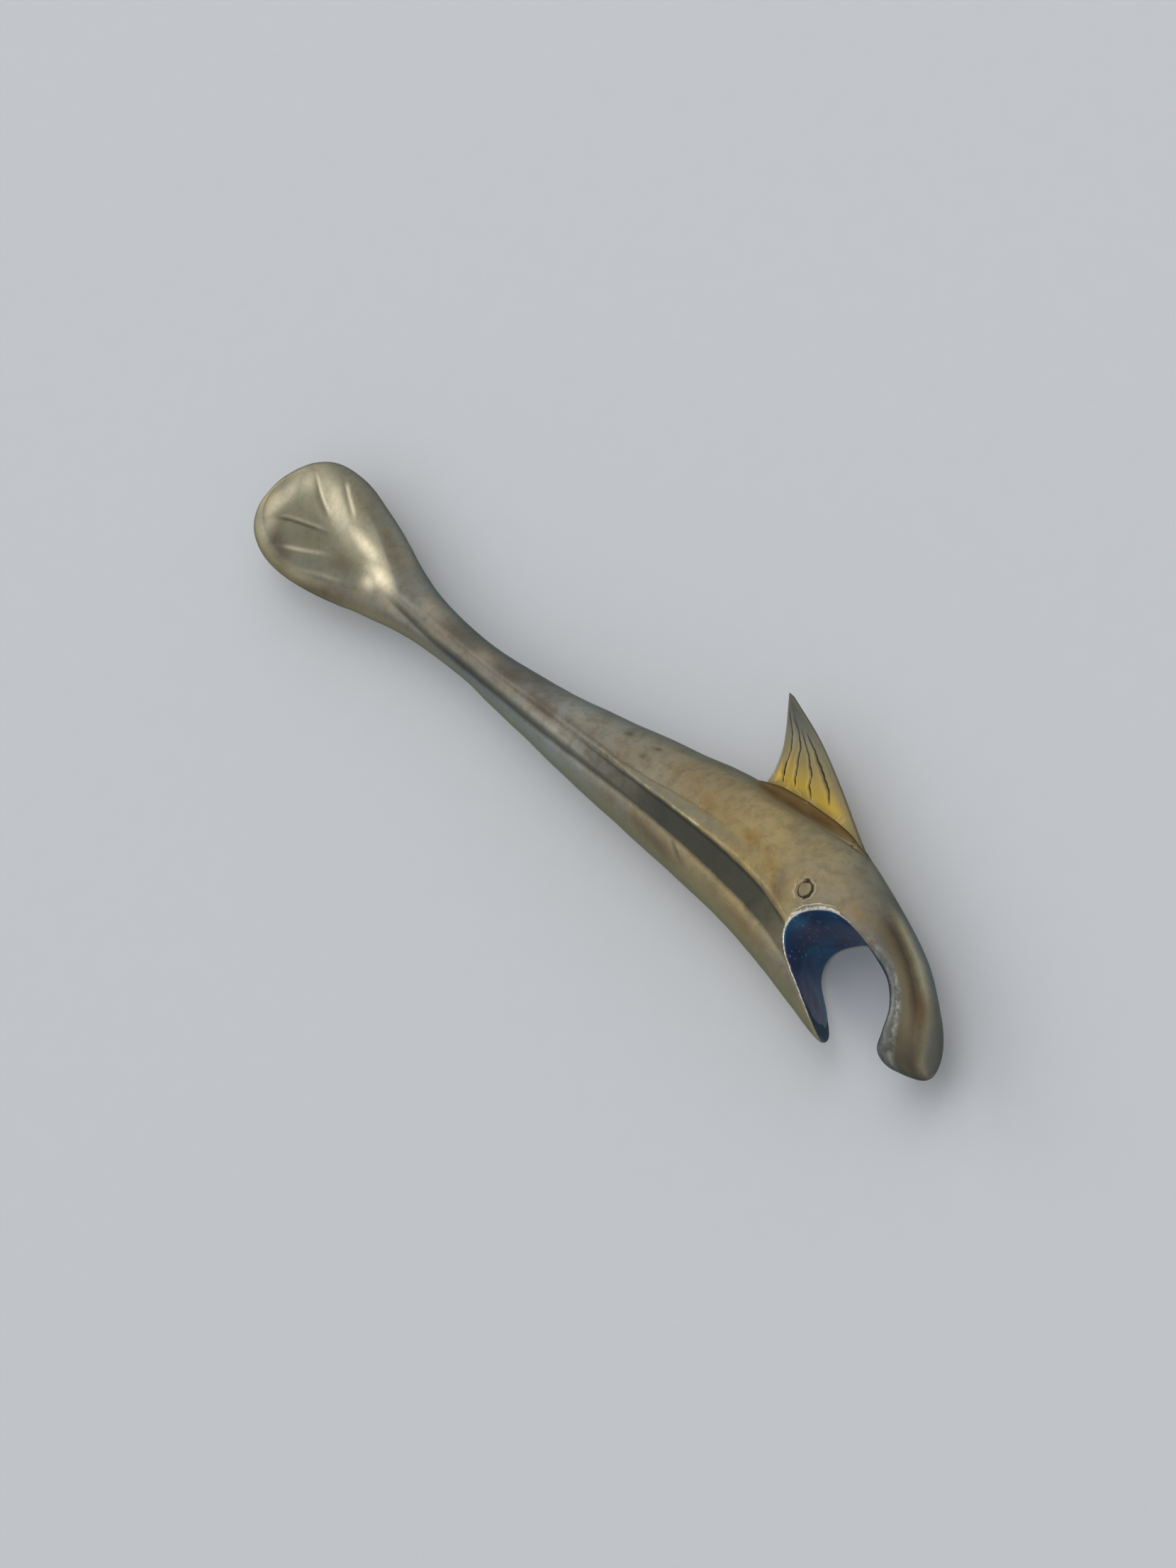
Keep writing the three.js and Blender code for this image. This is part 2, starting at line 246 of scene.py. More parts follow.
# Painted highlights on the dish's rim and walls and along the stem
PAINTED_HIGHLIGHTS = [
    (-50.2, 0.9, 3.6, 1.2, -10, 1),
    (-51.6, -0.5, 1.7, 0.9, -10, 0.8),
    (-58, 3.1, 6, 0.9, -6, 0.95),
    (-66.6, 4.8, 6.2, 1.6, -18, 0.95),
    (-73.4, 5, 1.9, 1.6, 30, 0.7),
    (-75.3, 1.2, 1.1, 3.6, 0, 0.9),
    (-74, -3.2, 1.2, 1.6, 30, 0.5),
    (-39, 2.1, 3.2, 1.2, 0, 0.22),
    (-25, 1.9, 1.9, 0.8, 0, 0.2),
]

DATUM = np.array([CAD_LOW.x / MM - TAIL_X, CAD_HIGH.y / MM - FIN_TIP_Y, CAD_LOW.z / MM + FLAT_HALF])


def world(points):
    """Millimetres from the datum to metres in the part's frame."""
    return (np.asarray(points, float) + DATUM) * MM


# --- Curves and fields ---
def spline(points, steps=12):
    """A smooth curve through the points."""
    p = np.asarray(points, float)
    padded = np.vstack([2 * p[0] - p[1], p, 2 * p[-1] - p[-2]])
    t = np.linspace(0, 1, steps, endpoint=False)[:, None]
    spans = []
    for a, b, c, d in zip(padded, padded[1:], padded[2:], padded[3:]):
        out, into = (c - a) / 2, (d - b) / 2
        cubic = (2 * t**3 - 3 * t**2 + 1) * b + (3 * t**2 - 2 * t**3) * c
        spans.append(cubic + (t**3 - 2 * t**2 + t) * out + (t**3 - t**2) * into)
    return np.vstack([*spans, p[-1:]])


def smoothstep(low, high, value):
    t = np.clip((value - low) / (high - low), 0, 1)
    return t * t * (3 - 2 * t)


def spots(x, y, z, marks):
    """How strongly a list of soft oval marks covers each point. The far side has its own places."""
    sx = np.where(z < 0, x + 5.5, x)
    total = np.zeros(np.shape(x))
    for cx, cy, long, wide, turn, strength in marks:
        c, s = math.cos(math.radians(turn)), math.sin(math.radians(turn))
        u = ((sx - cx) * c + (y - cy) * s) / long
        v = ((y - cy) * c - (sx - cx) * s) / wide
        total = np.maximum(total, strength * np.exp(-(u * u + v * v)))
    return total


def smooth_max(a, b, radius):
    """The larger of two distances, with the corner between them rounded."""
    h = np.maximum(radius - np.abs(a - b), 0) / radius
    return np.maximum(a, b) + h * h * radius / 4


def to_line(x, y, line):
    """Distance in the plan to a line of points, positive on its left, and how far along it, from 0 to 1."""
    best = np.full(np.shape(x), 1e9)
    along = np.zeros(np.shape(x))
    left = np.zeros(np.shape(x))
    count = len(line) - 1
    for i, (a, b) in enumerate(zip(line, line[1:])):
        dx, dy = b - a
        px, py = x - a[0], y - a[1]
        t = np.clip((px * dx + py * dy) / (dx * dx + dy * dy + 1e-12), 0, 1)
        away = (px - t * dx) ** 2 + (py - t * dy) ** 2
        nearer = away < best
        best = np.where(nearer, away, best)
        along = np.where(nearer, (i + t) / count, along)
        left = np.where(nearer, dx * py - dy * px, left)
    return np.sqrt(best) * np.where(left < 0, -1, 1), along


def inside(x, y, loop):
    """True where a plan point lies inside a closed loop of points."""
    hit = np.zeros(np.shape(x), bool)
    for a, b in zip(loop, np.roll(loop, -1, axis=0)):
        crosses = (a[1] > y) != (b[1] > y)
        slope = (b[0] - a[0]) / (b[1] - a[1] if abs(b[1] - a[1]) > 1e-12 else 1e-12)
        hit ^= crosses & (x < a[0] + (y - a[1]) * slope)
    return hit


TABLE_X = np.linspace(TAIL_X, NOSE_X, 3000)
ribs = spline(RIBS, 40)
TABLE_BACK = np.interp(TABLE_X, ribs[:, 0], ribs[:, 1])
TABLE_BELLY = np.interp(TABLE_X, ribs[:, 2], ribs[:, 3])
rib_x = (ribs[:, 0] + ribs[:, 2]) / 2
TABLE = {
    "middle": (TABLE_BACK + TABLE_BELLY) / 2,
    "tall": (TABLE_BACK - TABLE_BELLY) / 2,
    "half": np.interp(TABLE_X, rib_x, ribs[:, 4]),
    "square": np.interp(TABLE_X, rib_x, ribs[:, 5]),
}
SLOPE = {name: np.gradient(values, TABLE_X) for name, values in TABLE.items()}
mouth_line = spline(MOUTH_WALL, 8)
MOUTH_LOOP = np.vstack([mouth_line, [(mouth_line[-1][0], MOUTH_FLOOR), (mouth_line[0][0], MOUTH_FLOOR)]])
crease_line = spline(CREASE)
dish_line = spline(DISH)


def section(x):
    """The body's section at x: its middle height, half height, half thickness and squareness."""
    return [np.interp(x, TABLE_X, TABLE[name]) for name in ("middle", "tall", "half", "square")]


def crest(x):
    """Height of the body's back."""
    return np.interp(x, TABLE_X, TABLE_BACK)


def fish_distance(x, y, z):
    """Nearly the distance to the smooth fish, negative inside it."""
    middle, tall, half, square = section(x)
    d_middle, d_tall, d_half = (np.interp(x, TABLE_X, SLOPE[k]) for k in ("middle", "tall", "half"))
    up = np.abs(y - middle) / tall + 1e-6
    out = np.abs(z) / half + 1e-6
    gauge = (up**square + out**square) ** (1 / square)
    up_power = (up / gauge) ** (square - 1)
    out_power = (out / gauge) ** (square - 1)
    lean = -up * d_tall / tall - np.sign(y - middle) * d_middle / tall
    along = up_power * lean - out_power * out * d_half / half
    steep = np.sqrt(along**2 + (up_power / tall) ** 2 + (out_power / half) ** 2)
    distance = (gauge - 1) / steep
    return np.maximum(distance, np.maximum(TAIL_X - x, x - NOSE_X))


def crease_cut(x, y):
    """Depth of the shallow valley under the flank's crease, and where a point lies across it."""
    high = np.interp(x, crease_line[:, 0], crease_line[:, 1])
    low = np.interp(x, crease_line[:, 0], crease_line[:, 2])
    depth = np.interp(x, *zip(*CREASE_DEPTH))
    across = (y - low) / (high - low)
    return depth * smoothstep(-0.9, 0.72, across) * (1 - smoothstep(0.76, 1.22, across)), across


def dish_cut(x, y):
    """Depth of the thumb dish."""
    middle = np.interp(x, dish_line[:, 0], dish_line[:, 1])
    wide = np.interp(x, dish_line[:, 0], dish_line[:, 2], left=0, right=0)
    across = np.abs(y - middle) / np.maximum(wide, 0.05)
    bowl = np.clip(1 - across**2, 0, 1) ** 1.25
    return DISH_DEPTH * bowl * smoothstep(0, 5.5, wide)


def ray_cut(x, y, points, depth, width, beside=0.0):
    """Depth of an engraved stroke that fades at both ends."""
    away, along = to_line(x, y, spline(points, 5))
    away = away - beside
    fade = smoothstep(0, 0.25, along) * (1 - smoothstep(0.7, 1.0, along)) + 0.15
    return depth * fade * np.exp(-((away / width) ** 2))


rng = np.random.default_rng(11)
WAVES = []
for wavelength, height in ((17, 0.05), (11, 0.04), (7, 0.025), (4.5, 0.012), (3, 0.006)):
    for _ in range(4):
        direction = rng.normal(size=3)
        direction /= np.linalg.norm(direction)
        WAVES.append((direction * 2 * math.pi / wavelength, rng.uniform(0, 2 * math.pi), height / 2))


def waviness(x, y, z):
    """Hand finishing: the surface is never quite fair."""
    total = np.zeros(np.shape(x))
    for wave, phase, height in WAVES:
        total = total + height * np.sin(wave[0] * x + wave[1] * y + wave[2] * z + phase)
    return total


def mouth_distance(x, y):
    """Distance to the mouth's wall in the plan, negative in the open mouth."""
    away = np.abs(to_line(x, y, MOUTH_LOOP)[0])
    return np.where(inside(x, y, MOUTH_LOOP), -away, away)


def casting_field(x, y, z):
    """The cast body before the eyes are let in: negative in the metal."""
    d = fish_distance(x, y, z)
    wave = waviness(x, y, z)
    crease, _ = crease_cut(x, y)
    d = d + np.maximum(wave, -0.03) * smoothstep(TAIL_X, TAIL_X + 8, x) + 0.04 + crease + dish_cut(x, y)
    engraved = np.zeros(np.shape(x))
    near_tail = x < TAIL_ENDS
    if np.any(near_tail):
        cut = np.zeros(np.shape(x[near_tail]))
        for points, depth, _, _ in TAIL_RAYS:
            cut = cut + ray_cut(x[near_tail], y[near_tail], points, depth, TAIL_RAY_WIDTH)
        engraved[near_tail] = cut
    d = d + engraved
    near_mouth = x > HEAD_STARTS
    if np.any(near_mouth):
        mx, my = x[near_mouth], y[near_mouth]
        edge = THROAT_EDGE + (JAW_EDGE - THROAT_EDGE) * smoothstep(54, 60, mx)
        d = np.array(d)
        d[near_mouth] = smooth_max(d[near_mouth], -mouth_distance(mx, my), edge)
    return smooth_max(d, np.abs(z) - FLAT_HALF, 0.15)


def body_field(x, y, z):
    """The cast body with the pockets for the eyes."""
    pocket = np.hypot(x - EYE[0], y - EYE[1])
    return casting_field(x, y, z) + 0.6 * (1 - smoothstep(1.2, 1.5, pocket))


def surface_net(field, xs, ys, zs):
    """The surface of a sampled field as vertices and quads: one vertex in each cell that it crosses."""
    solid = field < 0
    corners = [(i, j, k) for i in (0, 1) for j in (0, 1) for k in (0, 1)]

    def corner(array, c):
        return array[tuple(slice(o, o + n - 1) for o, n in zip(c, array.shape))]

    filled = sum(corner(solid, c).astype(np.int8) for c in corners)
    active = (filled > 0) & (filled < 8)
    cells = np.argwhere(active)
    number = np.full(active.shape, -1, np.int64)
    number[active] = np.arange(len(cells))
    axes = (xs, ys, zs)
    total = np.zeros((len(cells), 3))
    crossings = np.zeros(len(cells))
    for a in corners:
        for axis in range(3):
            if a[axis]:
                continue
            b = list(a)
            b[axis] = 1
            at_a, at_b = cells + a, cells + b
            fa, fb = field[tuple(at_a.T)], field[tuple(at_b.T)]
            cross = (fa < 0) != (fb < 0)
            t = np.where(cross, fa / np.where(cross, fa - fb, 1), 0)
            pa = np.stack([axes[n][at_a[:, n]] for n in range(3)], 1)
            pb = np.stack([axes[n][at_b[:, n]] for n in range(3)], 1)
            total += np.where(cross[:, None], pa + (pb - pa) * t[:, None], 0)
            crossings += cross
    vertices = total / crossings[:, None]
    quads = []
    for axis in range(3):
        u, v = (axis + 1) % 3, (axis + 2) % 3
        start = [slice(1, -1)] * 3
        start[axis] = slice(0, -1)
        end = [slice(1, -1)] * 3
        end[axis] = slice(1, None)
        here, there = solid[tuple(start)], solid[tuple(end)]
        for rising in (True, False):
            edges = np.argwhere((here & ~there) if rising else (~here & there))
            base = edges + 1
            base[:, axis] -= 1
            ring = []
            for du, dv in ((-1, -1), (0, -1), (0, 0), (-1, 0)):
                at = base.copy()
                at[:, u] += du
                at[:, v] += dv
                ring.append(number[tuple(at.T)])
            quad = np.stack(ring if rising else ring[::-1], 1)
            quads.append(quad)
    return vertices, np.vstack(quads)


NUDGE = 0.01  # step for working out a field's slope


def settle(vertices, function, steps=3, reach=0.2):
    """Moves vertices onto the surface where the function is zero."""
    for _ in range(steps):
        x, y, z = vertices.T
        value = function(x, y, z)
        ahead = (function(x + NUDGE, y, z), function(x, y + NUDGE, z), function(x, y, z + NUDGE))
        slope = np.stack([(shifted - value) / NUDGE for shifted in ahead], 1)
        step = slope * (value / np.maximum((slope**2).sum(1), 0.05))[:, None]
        length = np.linalg.norm(step, axis=1, keepdims=True)
        vertices = vertices - step * np.minimum(1, reach / np.maximum(length, 1e-9))
    return vertices


def relax(vertices, quads, function, rounds=3):
    """Evens out the quads without leaving the surface."""
    for _ in range(rounds):
        total = np.zeros_like(vertices)
        count = np.zeros(len(vertices))
        for i in range(4):
            a, b = quads[:, i], quads[:, (i + 1) % 4]
            np.add.at(total, a, vertices[b])
            np.add.at(total, b, vertices[a])
            np.add.at(count, a, 1)
            np.add.at(count, b, 1)
        mean = total / count[:, None]
        vertices = settle(vertices + 0.5 * (mean - vertices), function, 1)
    return vertices


SLICES_AT_ONCE = 24


def grid(function, xs, ys, zs):
    """The field at every point of a grid, worked out a few slices at a time to save memory."""
    field = np.empty((len(xs), len(ys), len(zs)), np.float32)
    for i in range(0, len(xs), SLICES_AT_ONCE):
        end = i + SLICES_AT_ONCE
        field[i:end] = function(*np.meshgrid(xs[i:end], ys, zs, indexing="ij"))
    return field


def new_mesh(name, vertices, faces):
    """An object from vertices in millimetres from the datum, kept inside the CAD box."""
    vertices = np.clip(vertices, *(np.array(corner) / MM - DATUM for corner in (CAD_LOW, CAD_HIGH)))
    mesh = bpy.data.meshes.new(name)
    mesh.from_pydata(world(vertices).tolist(), [], [tuple(int(i) for i in f) for f in faces])
    mesh.validate()
    mesh.update()
    mesh.polygons.foreach_set("use_smooth", [True] * len(mesh.polygons))
    made = bpy.data.objects.new(name, mesh)
    bpy.context.scene.collection.objects.link(made)
    return made


def paint(piece, name, values):
    """Stores one number for each vertex, which the materials read."""
    layer = piece.data.attributes.get(name) or piece.data.attributes.new(name, "FLOAT", "POINT")
    layer.data.foreach_set("value", np.asarray(values, np.float32))


def skin(field, xs, ys, zs, rounds=1):
    """Even quads on a field's surface."""
    vertices, quads = surface_net(grid(field, xs, ys, zs), xs, ys, zs)
    vertices = settle(vertices, field, 2)
    return relax(vertices, quads, field, rounds), quads


def varied_steps(spans):
    """Grid coordinates from stretches of (start, end, step)."""
    values = [np.arange(start, end, step) for start, end, step in spans]
    return np.concatenate([*values, [spans[-1][1]]])


# --- The pieces ---
BODY_STEPS = [(-80.0, -44.0, 0.26), (-44.0, 38.0, 0.34), (38.0, 73.0, 0.21)]
BODY_CELL = 0.25


def make_body():
    """The casting, with small grid steps along the tail and the head and longer ones between."""
    coarse = 1.0
    xs = varied_steps([(start, end, step * coarse) for start, end, step in BODY_STEPS])
    ys = np.arange(-9.0, 14.6, BODY_CELL * coarse)
    zs = np.arange(-6.7, 6.75, BODY_CELL * coarse)
    vertices, quads = skin(casting_field, xs, ys, zs, 2)
    vertices = settle(vertices, body_field, 2)
    piece = new_mesh("body", vertices, quads)
    paint_patina_and_light(piece, vertices)
    return piece


def paint_patina_and_light(piece, vertices):
    """Stores where each vertex lies in the patina and in the painted light and shade: distances, so that the
    material can draw sharp edges.
    """
    x, y, z = vertices.T
    side = np.abs(z)
    _, around = to_line(x, y, mouth_line)
    head = x > HEAD_STARTS
    tail = x < TAIL_ENDS
    wall = mouth_distance(x, y)
    below_edge = np.maximum(wall_height(x, y) - 0.18 - side, 0) * (np.abs(wall) < 0.5)
    middle, tall, _, _ = section(x)
    back = crest(x) - y
    ray_shade = np.zeros(len(x))
    highlight_marks = spots(x, y, z, PAINTED_HIGHLIGHTS)
    # Each tail stroke gets painted shade in its cut and a painted highlight along its upper lip.
    for points, _, dark, ray_highlight in TAIL_RAYS:
        ray_shade += ray_cut(x, y, points, dark, TAIL_RAY_WIDTH * 0.8) * tail
        highlight_marks = np.maximum(highlight_marks, ray_cut(x, y, points, ray_highlight, TAIL_RAY_WIDTH, TAIL_RAY_HIGHLIGHT_OFFSET) * tail)
    beside = side - np.interp(x, *zip(*COLLAR_PLAN), left=0, right=0)
    by_collar = smoothstep(21.6, 24, x) * smoothstep(45.6, 43.5, x) * (y > 8)
    layers = {
        "edge": np.where(head, np.clip(wall - below_edge, -2, 6), 6),
        "around": around,
        "across": np.clip(crease_cut(x, y)[1], -2, 3),
        "along": x,
        "girth": np.clip((y - middle) / tall, -1, 1),
        "seam": np.clip(y - np.interp(x, *zip(*SEAM)), -4, 4),
        "jaw": np.clip(wall / np.maximum(wall + back, 0.1), 0, 1),
        "jaw_share": smoothstep(0.5, 0.62, around) * smoothstep(48, 56, x) * head,
        # Painted shade in the tail's strokes; painted highlights beside them and on the dish.
        "engraved": np.clip(ray_shade, 0, 1),
        "dish": np.clip(dish_cut(x, y) / DISH_DEPTH, 0, 1),
        "stain": spots(x, y, z, STAINS),
        "rust": spots(x, y, z, RUSTS),
        "brazed": (1 - smoothstep(0, 1.1, beside)) * by_collar,
        "painted_highlight": highlight_marks,
    }
    for name, values in layers.items():
        paint(piece, name, values)


def wall_height(x, y):
    """Half the fish's thickness at a plan point, so how far up the mouth's wall goes."""
    middle, tall, half, square = section(x)
    up = np.clip(np.abs(y - middle) / tall, 0, 1)
    return np.minimum(half * (1 - up**square) ** (1 / square), FLAT_HALF)


FIN_LOOP = np.vstack([spline(FIN_REAR_EDGE, 8), spline(FIN_FRONT_EDGE, 8), TANG])


def fin_plan(x, y):
    """Distance to the fin's outline, negative inside it."""
    away = np.abs(to_line(x, y, np.vstack([FIN_LOOP, FIN_LOOP[:1]]))[0])
    return np.where(inside(x, y, FIN_LOOP), -away, away)


def fin_field(x, y, z):
    plan = fin_plan(x, y)
    rise = np.clip((y - FIN_ROOT_Y) / (FIN_TIP_Y - FIN_ROOT_Y), 0, 1)
    half = FIN_HALF_AT_ROOT + (FIN_HALF_AT_TIP - FIN_HALF_AT_ROOT) * rise
    half = half * (0.6 + 0.4 * smoothstep(0, 2.6, -plan))  # the edges are thinner than the middle
    cut = np.zeros(np.shape(x))
    for points in FIN_RAYS:
        cut = np.maximum(cut, fin_ray(x, y, points)[0])
    wave = 0.35 * waviness(x * 1.3, y * 1.3, z)
    return smooth_max(plan, np.abs(z) - half + RAY_DEPTH * cut + wave, 0.35)


def fin_ray(x, y, points):
    """A chiselled ray, as depth and painted shade from 0 to 1: gentle on the tail's side, steep on the
    head's.
    """
    line = spline(points, 6)
    away, along = to_line(x, y, line)
    jagged = 0.06 * np.sin(along * 21 + 5 * points[0][0]) + 0.025 * np.sin(along * 57 + 9 * points[0][0])
    away = away + jagged * smoothstep(0.1, 0.4, along)
    widening = 0.25 + 0.75 * smoothstep(0.05, 0.6, along) * (1 - 0.55 * smoothstep(0.75, 1.0, along))
    gentle = np.clip(1 + away / (RAY_SLOPE * widening), 0, 1) ** 1.4
    steep = np.clip(1 - away / RAY_WALL, 0, 1)
    fade = smoothstep(0, 0.12, along) * (1 - smoothstep(0.94, 1.0, along))
    depth = np.where(away < 0, gentle, steep) * widening * fade
    dark = np.exp(-(((away + 0.01) / (0.05 + 0.07 * widening)) ** 2)) * fade
    return depth, dark


def make_fin():
    step = 0.1
    xs = np.arange(15.4, 44.0, step)
    ys = np.arange(9.2, 23.8, step)
    zs = np.arange(-1.5, 1.52, 0.12)
    vertices, quads = skin(fin_field, xs, ys, zs)
    vertices[:, 1] = np.clip(vertices[:, 1], None, FIN_TIP_Y)
    piece = new_mesh("fin_plate", vertices, quads)
    x, y, _ = vertices.T
    rays = [fin_ray(x, y, points) for points in FIN_RAYS]
    paint(piece, "groove", np.max([depth for depth, _ in rays], axis=0))
    blue_x, blue_y, blue_long, blue_high = BLUE_STRETCH
    ray_blue_reflection = np.exp(-(((x - blue_x) / blue_long) ** 2) - ((y - blue_y) / blue_high) ** 2) * rays[0][0]
    paint(piece, "engraved", np.clip(np.max([dark for _, dark in rays], axis=0) + ray_blue_reflection, 0, 1))
    paint(piece, "height", (y - crest(x)) / FIN_HEIGHT)
    paint(piece, "rim", -fin_plan(x, y))
    return piece


def collar_field(x, y, z):
    """The braze round the fin's root: a boat-shaped saddle on the back with a fillet up the fin."""
    plan = np.abs(z) - np.interp(x, *zip(*COLLAR_PLAN), left=-1, right=-1)
    skin = casting_field(x, y, z) - COLLAR_PROUD
    fin_face = smooth_max(np.abs(z) - FIN_HALF_AT_ROOT - 0.12, fin_plan(x, y) + 0.35, 0.5)
    saddle = -smooth_max(-skin, -fin_face, 1.5)
    top = y - crest(x) - np.interp(x, *zip(*UPSTAND))
    saddle = smooth_max(saddle, top, 0.7)
    return smooth_max(smooth_max(saddle, plan, 0.1), COLLAR_BOTTOM - y, 0.1)


def make_collar():
    step = 0.13
    xs = np.arange(22.0, 45.2, step)
    ys = np.arange(9.6, 15.2, step)
    zs = np.arange(-4.2, 4.22, step)
    vertices, quads = skin(collar_field, xs, ys, zs)
    piece = new_mesh("fin_collar", vertices, quads)
    x, y, z = vertices.T
    paint(piece, "height", y - crest(x))
    paint(piece, "rim", np.interp(x, *zip(*COLLAR_PLAN), left=-1, right=-1) - np.abs(z))
    return piece


def height_at(field, x, y, side, top=8.0):
    """How far from the middle plane a surface lies over a plan point."""
    x, y = np.atleast_1d(x).astype(float), np.atleast_1d(y).astype(float)
    low, high = np.zeros(len(x)), np.full(len(x), top)
    for _ in range(24):
        half = (low + high) / 2
        outside = field(x, y, side * half) > 0
        high = np.where(outside, half, high)
        low = np.where(outside, low, half)
    return (low + high) / 2


def ring_faces(rings, sides, first=0):
    """Quads between closed rings of vertices, the first of which starts at vertex number first."""
    faces = []
    for i in range(rings - 1):
        inner = first + i * sides
        outer = inner + sides
        for j in range(sides):
            k = (j + 1) % sides
            faces.append((inner + j, outer + j, outer + k, inner + k))
    return faces


def fan(centre, first, sides):
    """Triangles from one vertex to a ring of vertices."""
    return [(centre, first + j, first + (j + 1) % sides) for j in range(sides)]


EYE_OUTER = 1.72  # the visual eye reaches past its chased ring
EYE_SUNK = 1.0  # how far its foot goes into the body


def make_eye(name, side):
    """A stud held by a ring of chisel strokes, with the rim of the body round it."""
    rings, sides = ((44, 180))
    radius = np.linspace(0.02, EYE_OUTER, rings)
    angle = np.linspace(0, 2 * math.pi, sides, endpoint=False)
    r, a = np.meshgrid(radius, angle, indexing="ij")
    x = EYE[0] + r * np.cos(a)
    y = EYE[1] + r * np.sin(a)
    level = height_at(casting_field, x.ravel(), y.ravel(), side).reshape(r.shape)
    relief, dark, burr = eye_relief(r, a)
    level = level + relief + 0.012 - 0.05 * smoothstep(EYE_OUTER - 0.1, EYE_OUTER, r)
    top = np.stack([x, y, side * level], -1).reshape(-1, 3)
    foot = np.stack([x[-1], y[-1], side * (level[-1] - EYE_SUNK)], -1)
    middle = [(EYE[0], EYE[1], side * level[0].mean())]
    bottom = [(EYE[0], EYE[1], side * (level[-1].min() - EYE_SUNK))]
    vertices = np.vstack([top, foot, middle, bottom])
    centre = (rings + 1) * sides
    under = fan(centre + 1, rings * sides, sides)
    faces = ring_faces(rings + 1, sides) + fan(centre, 0, sides) + [face[::-1] for face in under]
    if side < 0:
        faces = [face[::-1] for face in faces]
    piece = new_mesh(name, vertices, faces)
    paint_patina_and_light(piece, vertices)
    # Painted shade in the ring's steep sides with a patch of painted blue reflection, and a painted
    # highlight on its burr.
    paint(piece, "engraved", np.concatenate([dark.ravel(), np.zeros(sides + 2)]))
    paint(piece, "painted_highlight", np.concatenate([burr.ravel(), np.zeros(sides + 2)]))
    return piece


def eye_relief(r, a):
    """Height, painted shade and painted highlight of the chased ring: strokes whose steep side faces the
    stud. A patch of the shade is painted blue reflection.
    """
    stroke = (a * EYE_STROKES / (2 * math.pi) + 0.35) % 1.0
    number = np.floor((a * EYE_STROKES / (2 * math.pi) + 0.35) % EYE_STROKES)
    vary = np.sin(number * 2.4 + 0.7)
    inner = 0.98 + 0.05 * np.cos(2 * (a - 2.0)) + 0.05 * np.abs(stroke - 0.5)
    outer = inner + 0.36 + 0.1 * vary + 0.2 * np.abs(stroke - 0.5) * 2 * (0.6 + 0.4 * vary)
    across = (r - inner) / (outer - inner)
    depth = np.where(across < 0, smoothstep(-0.35, 0, across), np.clip(1 - across, 0, 1) ** 1.2)
    strength = 0.24 + 0.08 * vary
    burr = np.exp(-(((across - 1.06) / 0.12) ** 2))
    dark = np.exp(-(((across - 0.06) / 0.22) ** 2))
    blue = np.exp(-(((a - 2.1) / 0.25) ** 2)) * ((across > -0.1) & (across < 0.95))
    return 0.06 * burr - strength * depth, np.clip(dark + blue, 0, 1), 0.6 * burr


def make_pin(name):
    """A cross pin with a low domed end at each side."""
    centre = PINS[name]
    level = float(height_at(collar_field, centre[0], centre[1], 1, 4.0)[0]) + 0.05
    half = [(0.0, 0.0), (0.14, 0.01), (0.26, 0.05), (0.33, 0.1), (PIN_RADIUS, 0.16)]
    profile = [(radius, level - drop) for radius, drop in half]
    profile += [(radius, drop - level) for radius, drop in reversed(half[1:])]
    profile.append((0.02, -level))
    angle = np.linspace(0, 2 * math.pi, PIN_SIDES, endpoint=False)
    turn = np.stack([np.cos(angle), np.sin(angle)], 1)
    rings = [np.c_[centre + radius * turn, np.full(PIN_SIDES, height)] for radius, height in profile[1:]]
    vertices = np.vstack([[(*centre, profile[0][1])], *rings])
    last = len(vertices) - PIN_SIDES
    faces = fan(0, 1, PIN_SIDES) + ring_faces(len(profile) - 1, PIN_SIDES, 1)
    faces.append(tuple(range(last + PIN_SIDES - 1, last - 1, -1)))
    return new_mesh(name + "_head", vertices, faces)


MOUTH_SHEET_REACH = (0.115, 0.63)  # where it starts and ends, as shares of the mouth's wall


def make_mouth_reflection_sheet():
    """A thin blue sheet on the mouth's wall, from the lower lip round to the top of the throat, that carries
    the painted reflection.
    """
    line = spline(MOUTH_WALL, 40)
    start, end = (int(share * len(line)) for share in MOUTH_SHEET_REACH)
    path = line[start:end:2]
    ahead = np.gradient(path, axis=0)
    ahead /= np.linalg.norm(ahead, axis=1)[:, None]
    into = np.stack([-ahead[:, 1], ahead[:, 0]], 1)  # into the metal
    height = wall_height(path[:, 0], path[:, 1])
    margin = 0.36 + 2.2 * smoothstep(51.0, 57.0, path[:, 0])
    rows = 61
    levels = np.linspace(-1, 1, rows)
    count = len(path)
    fade = np.minimum(np.arange(count), np.arange(count)[::-1]) / 6.0
    front, back = [], []
    for i in range(count):
        reach = max(height[i] - margin[i], 0.4)
        for level in levels:
            z = level * reach
            border = min(1.0, (1 - abs(level)) * reach / 0.25, fade[i])
            lift = 0.06 * smoothstep(0, 1, border) - 0.02
            ripple = 0.012 * math.sin(3.1 * z + 0.35 * i) + 0.01 * math.sin(1.7 * z - 0.21 * i + 1)
            shift = -(lift + ripple * max(border, 0))
            front.append((path[i][0] + into[i][0] * shift, path[i][1] + into[i][1] * shift, z))
            back.append((path[i][0] + into[i][0] * 0.5, path[i][1] + into[i][1] * 0.5, z * 0.94))
    return new_mesh("mouth_reflection_sheet", np.array(front + back), slab_faces(count, rows))


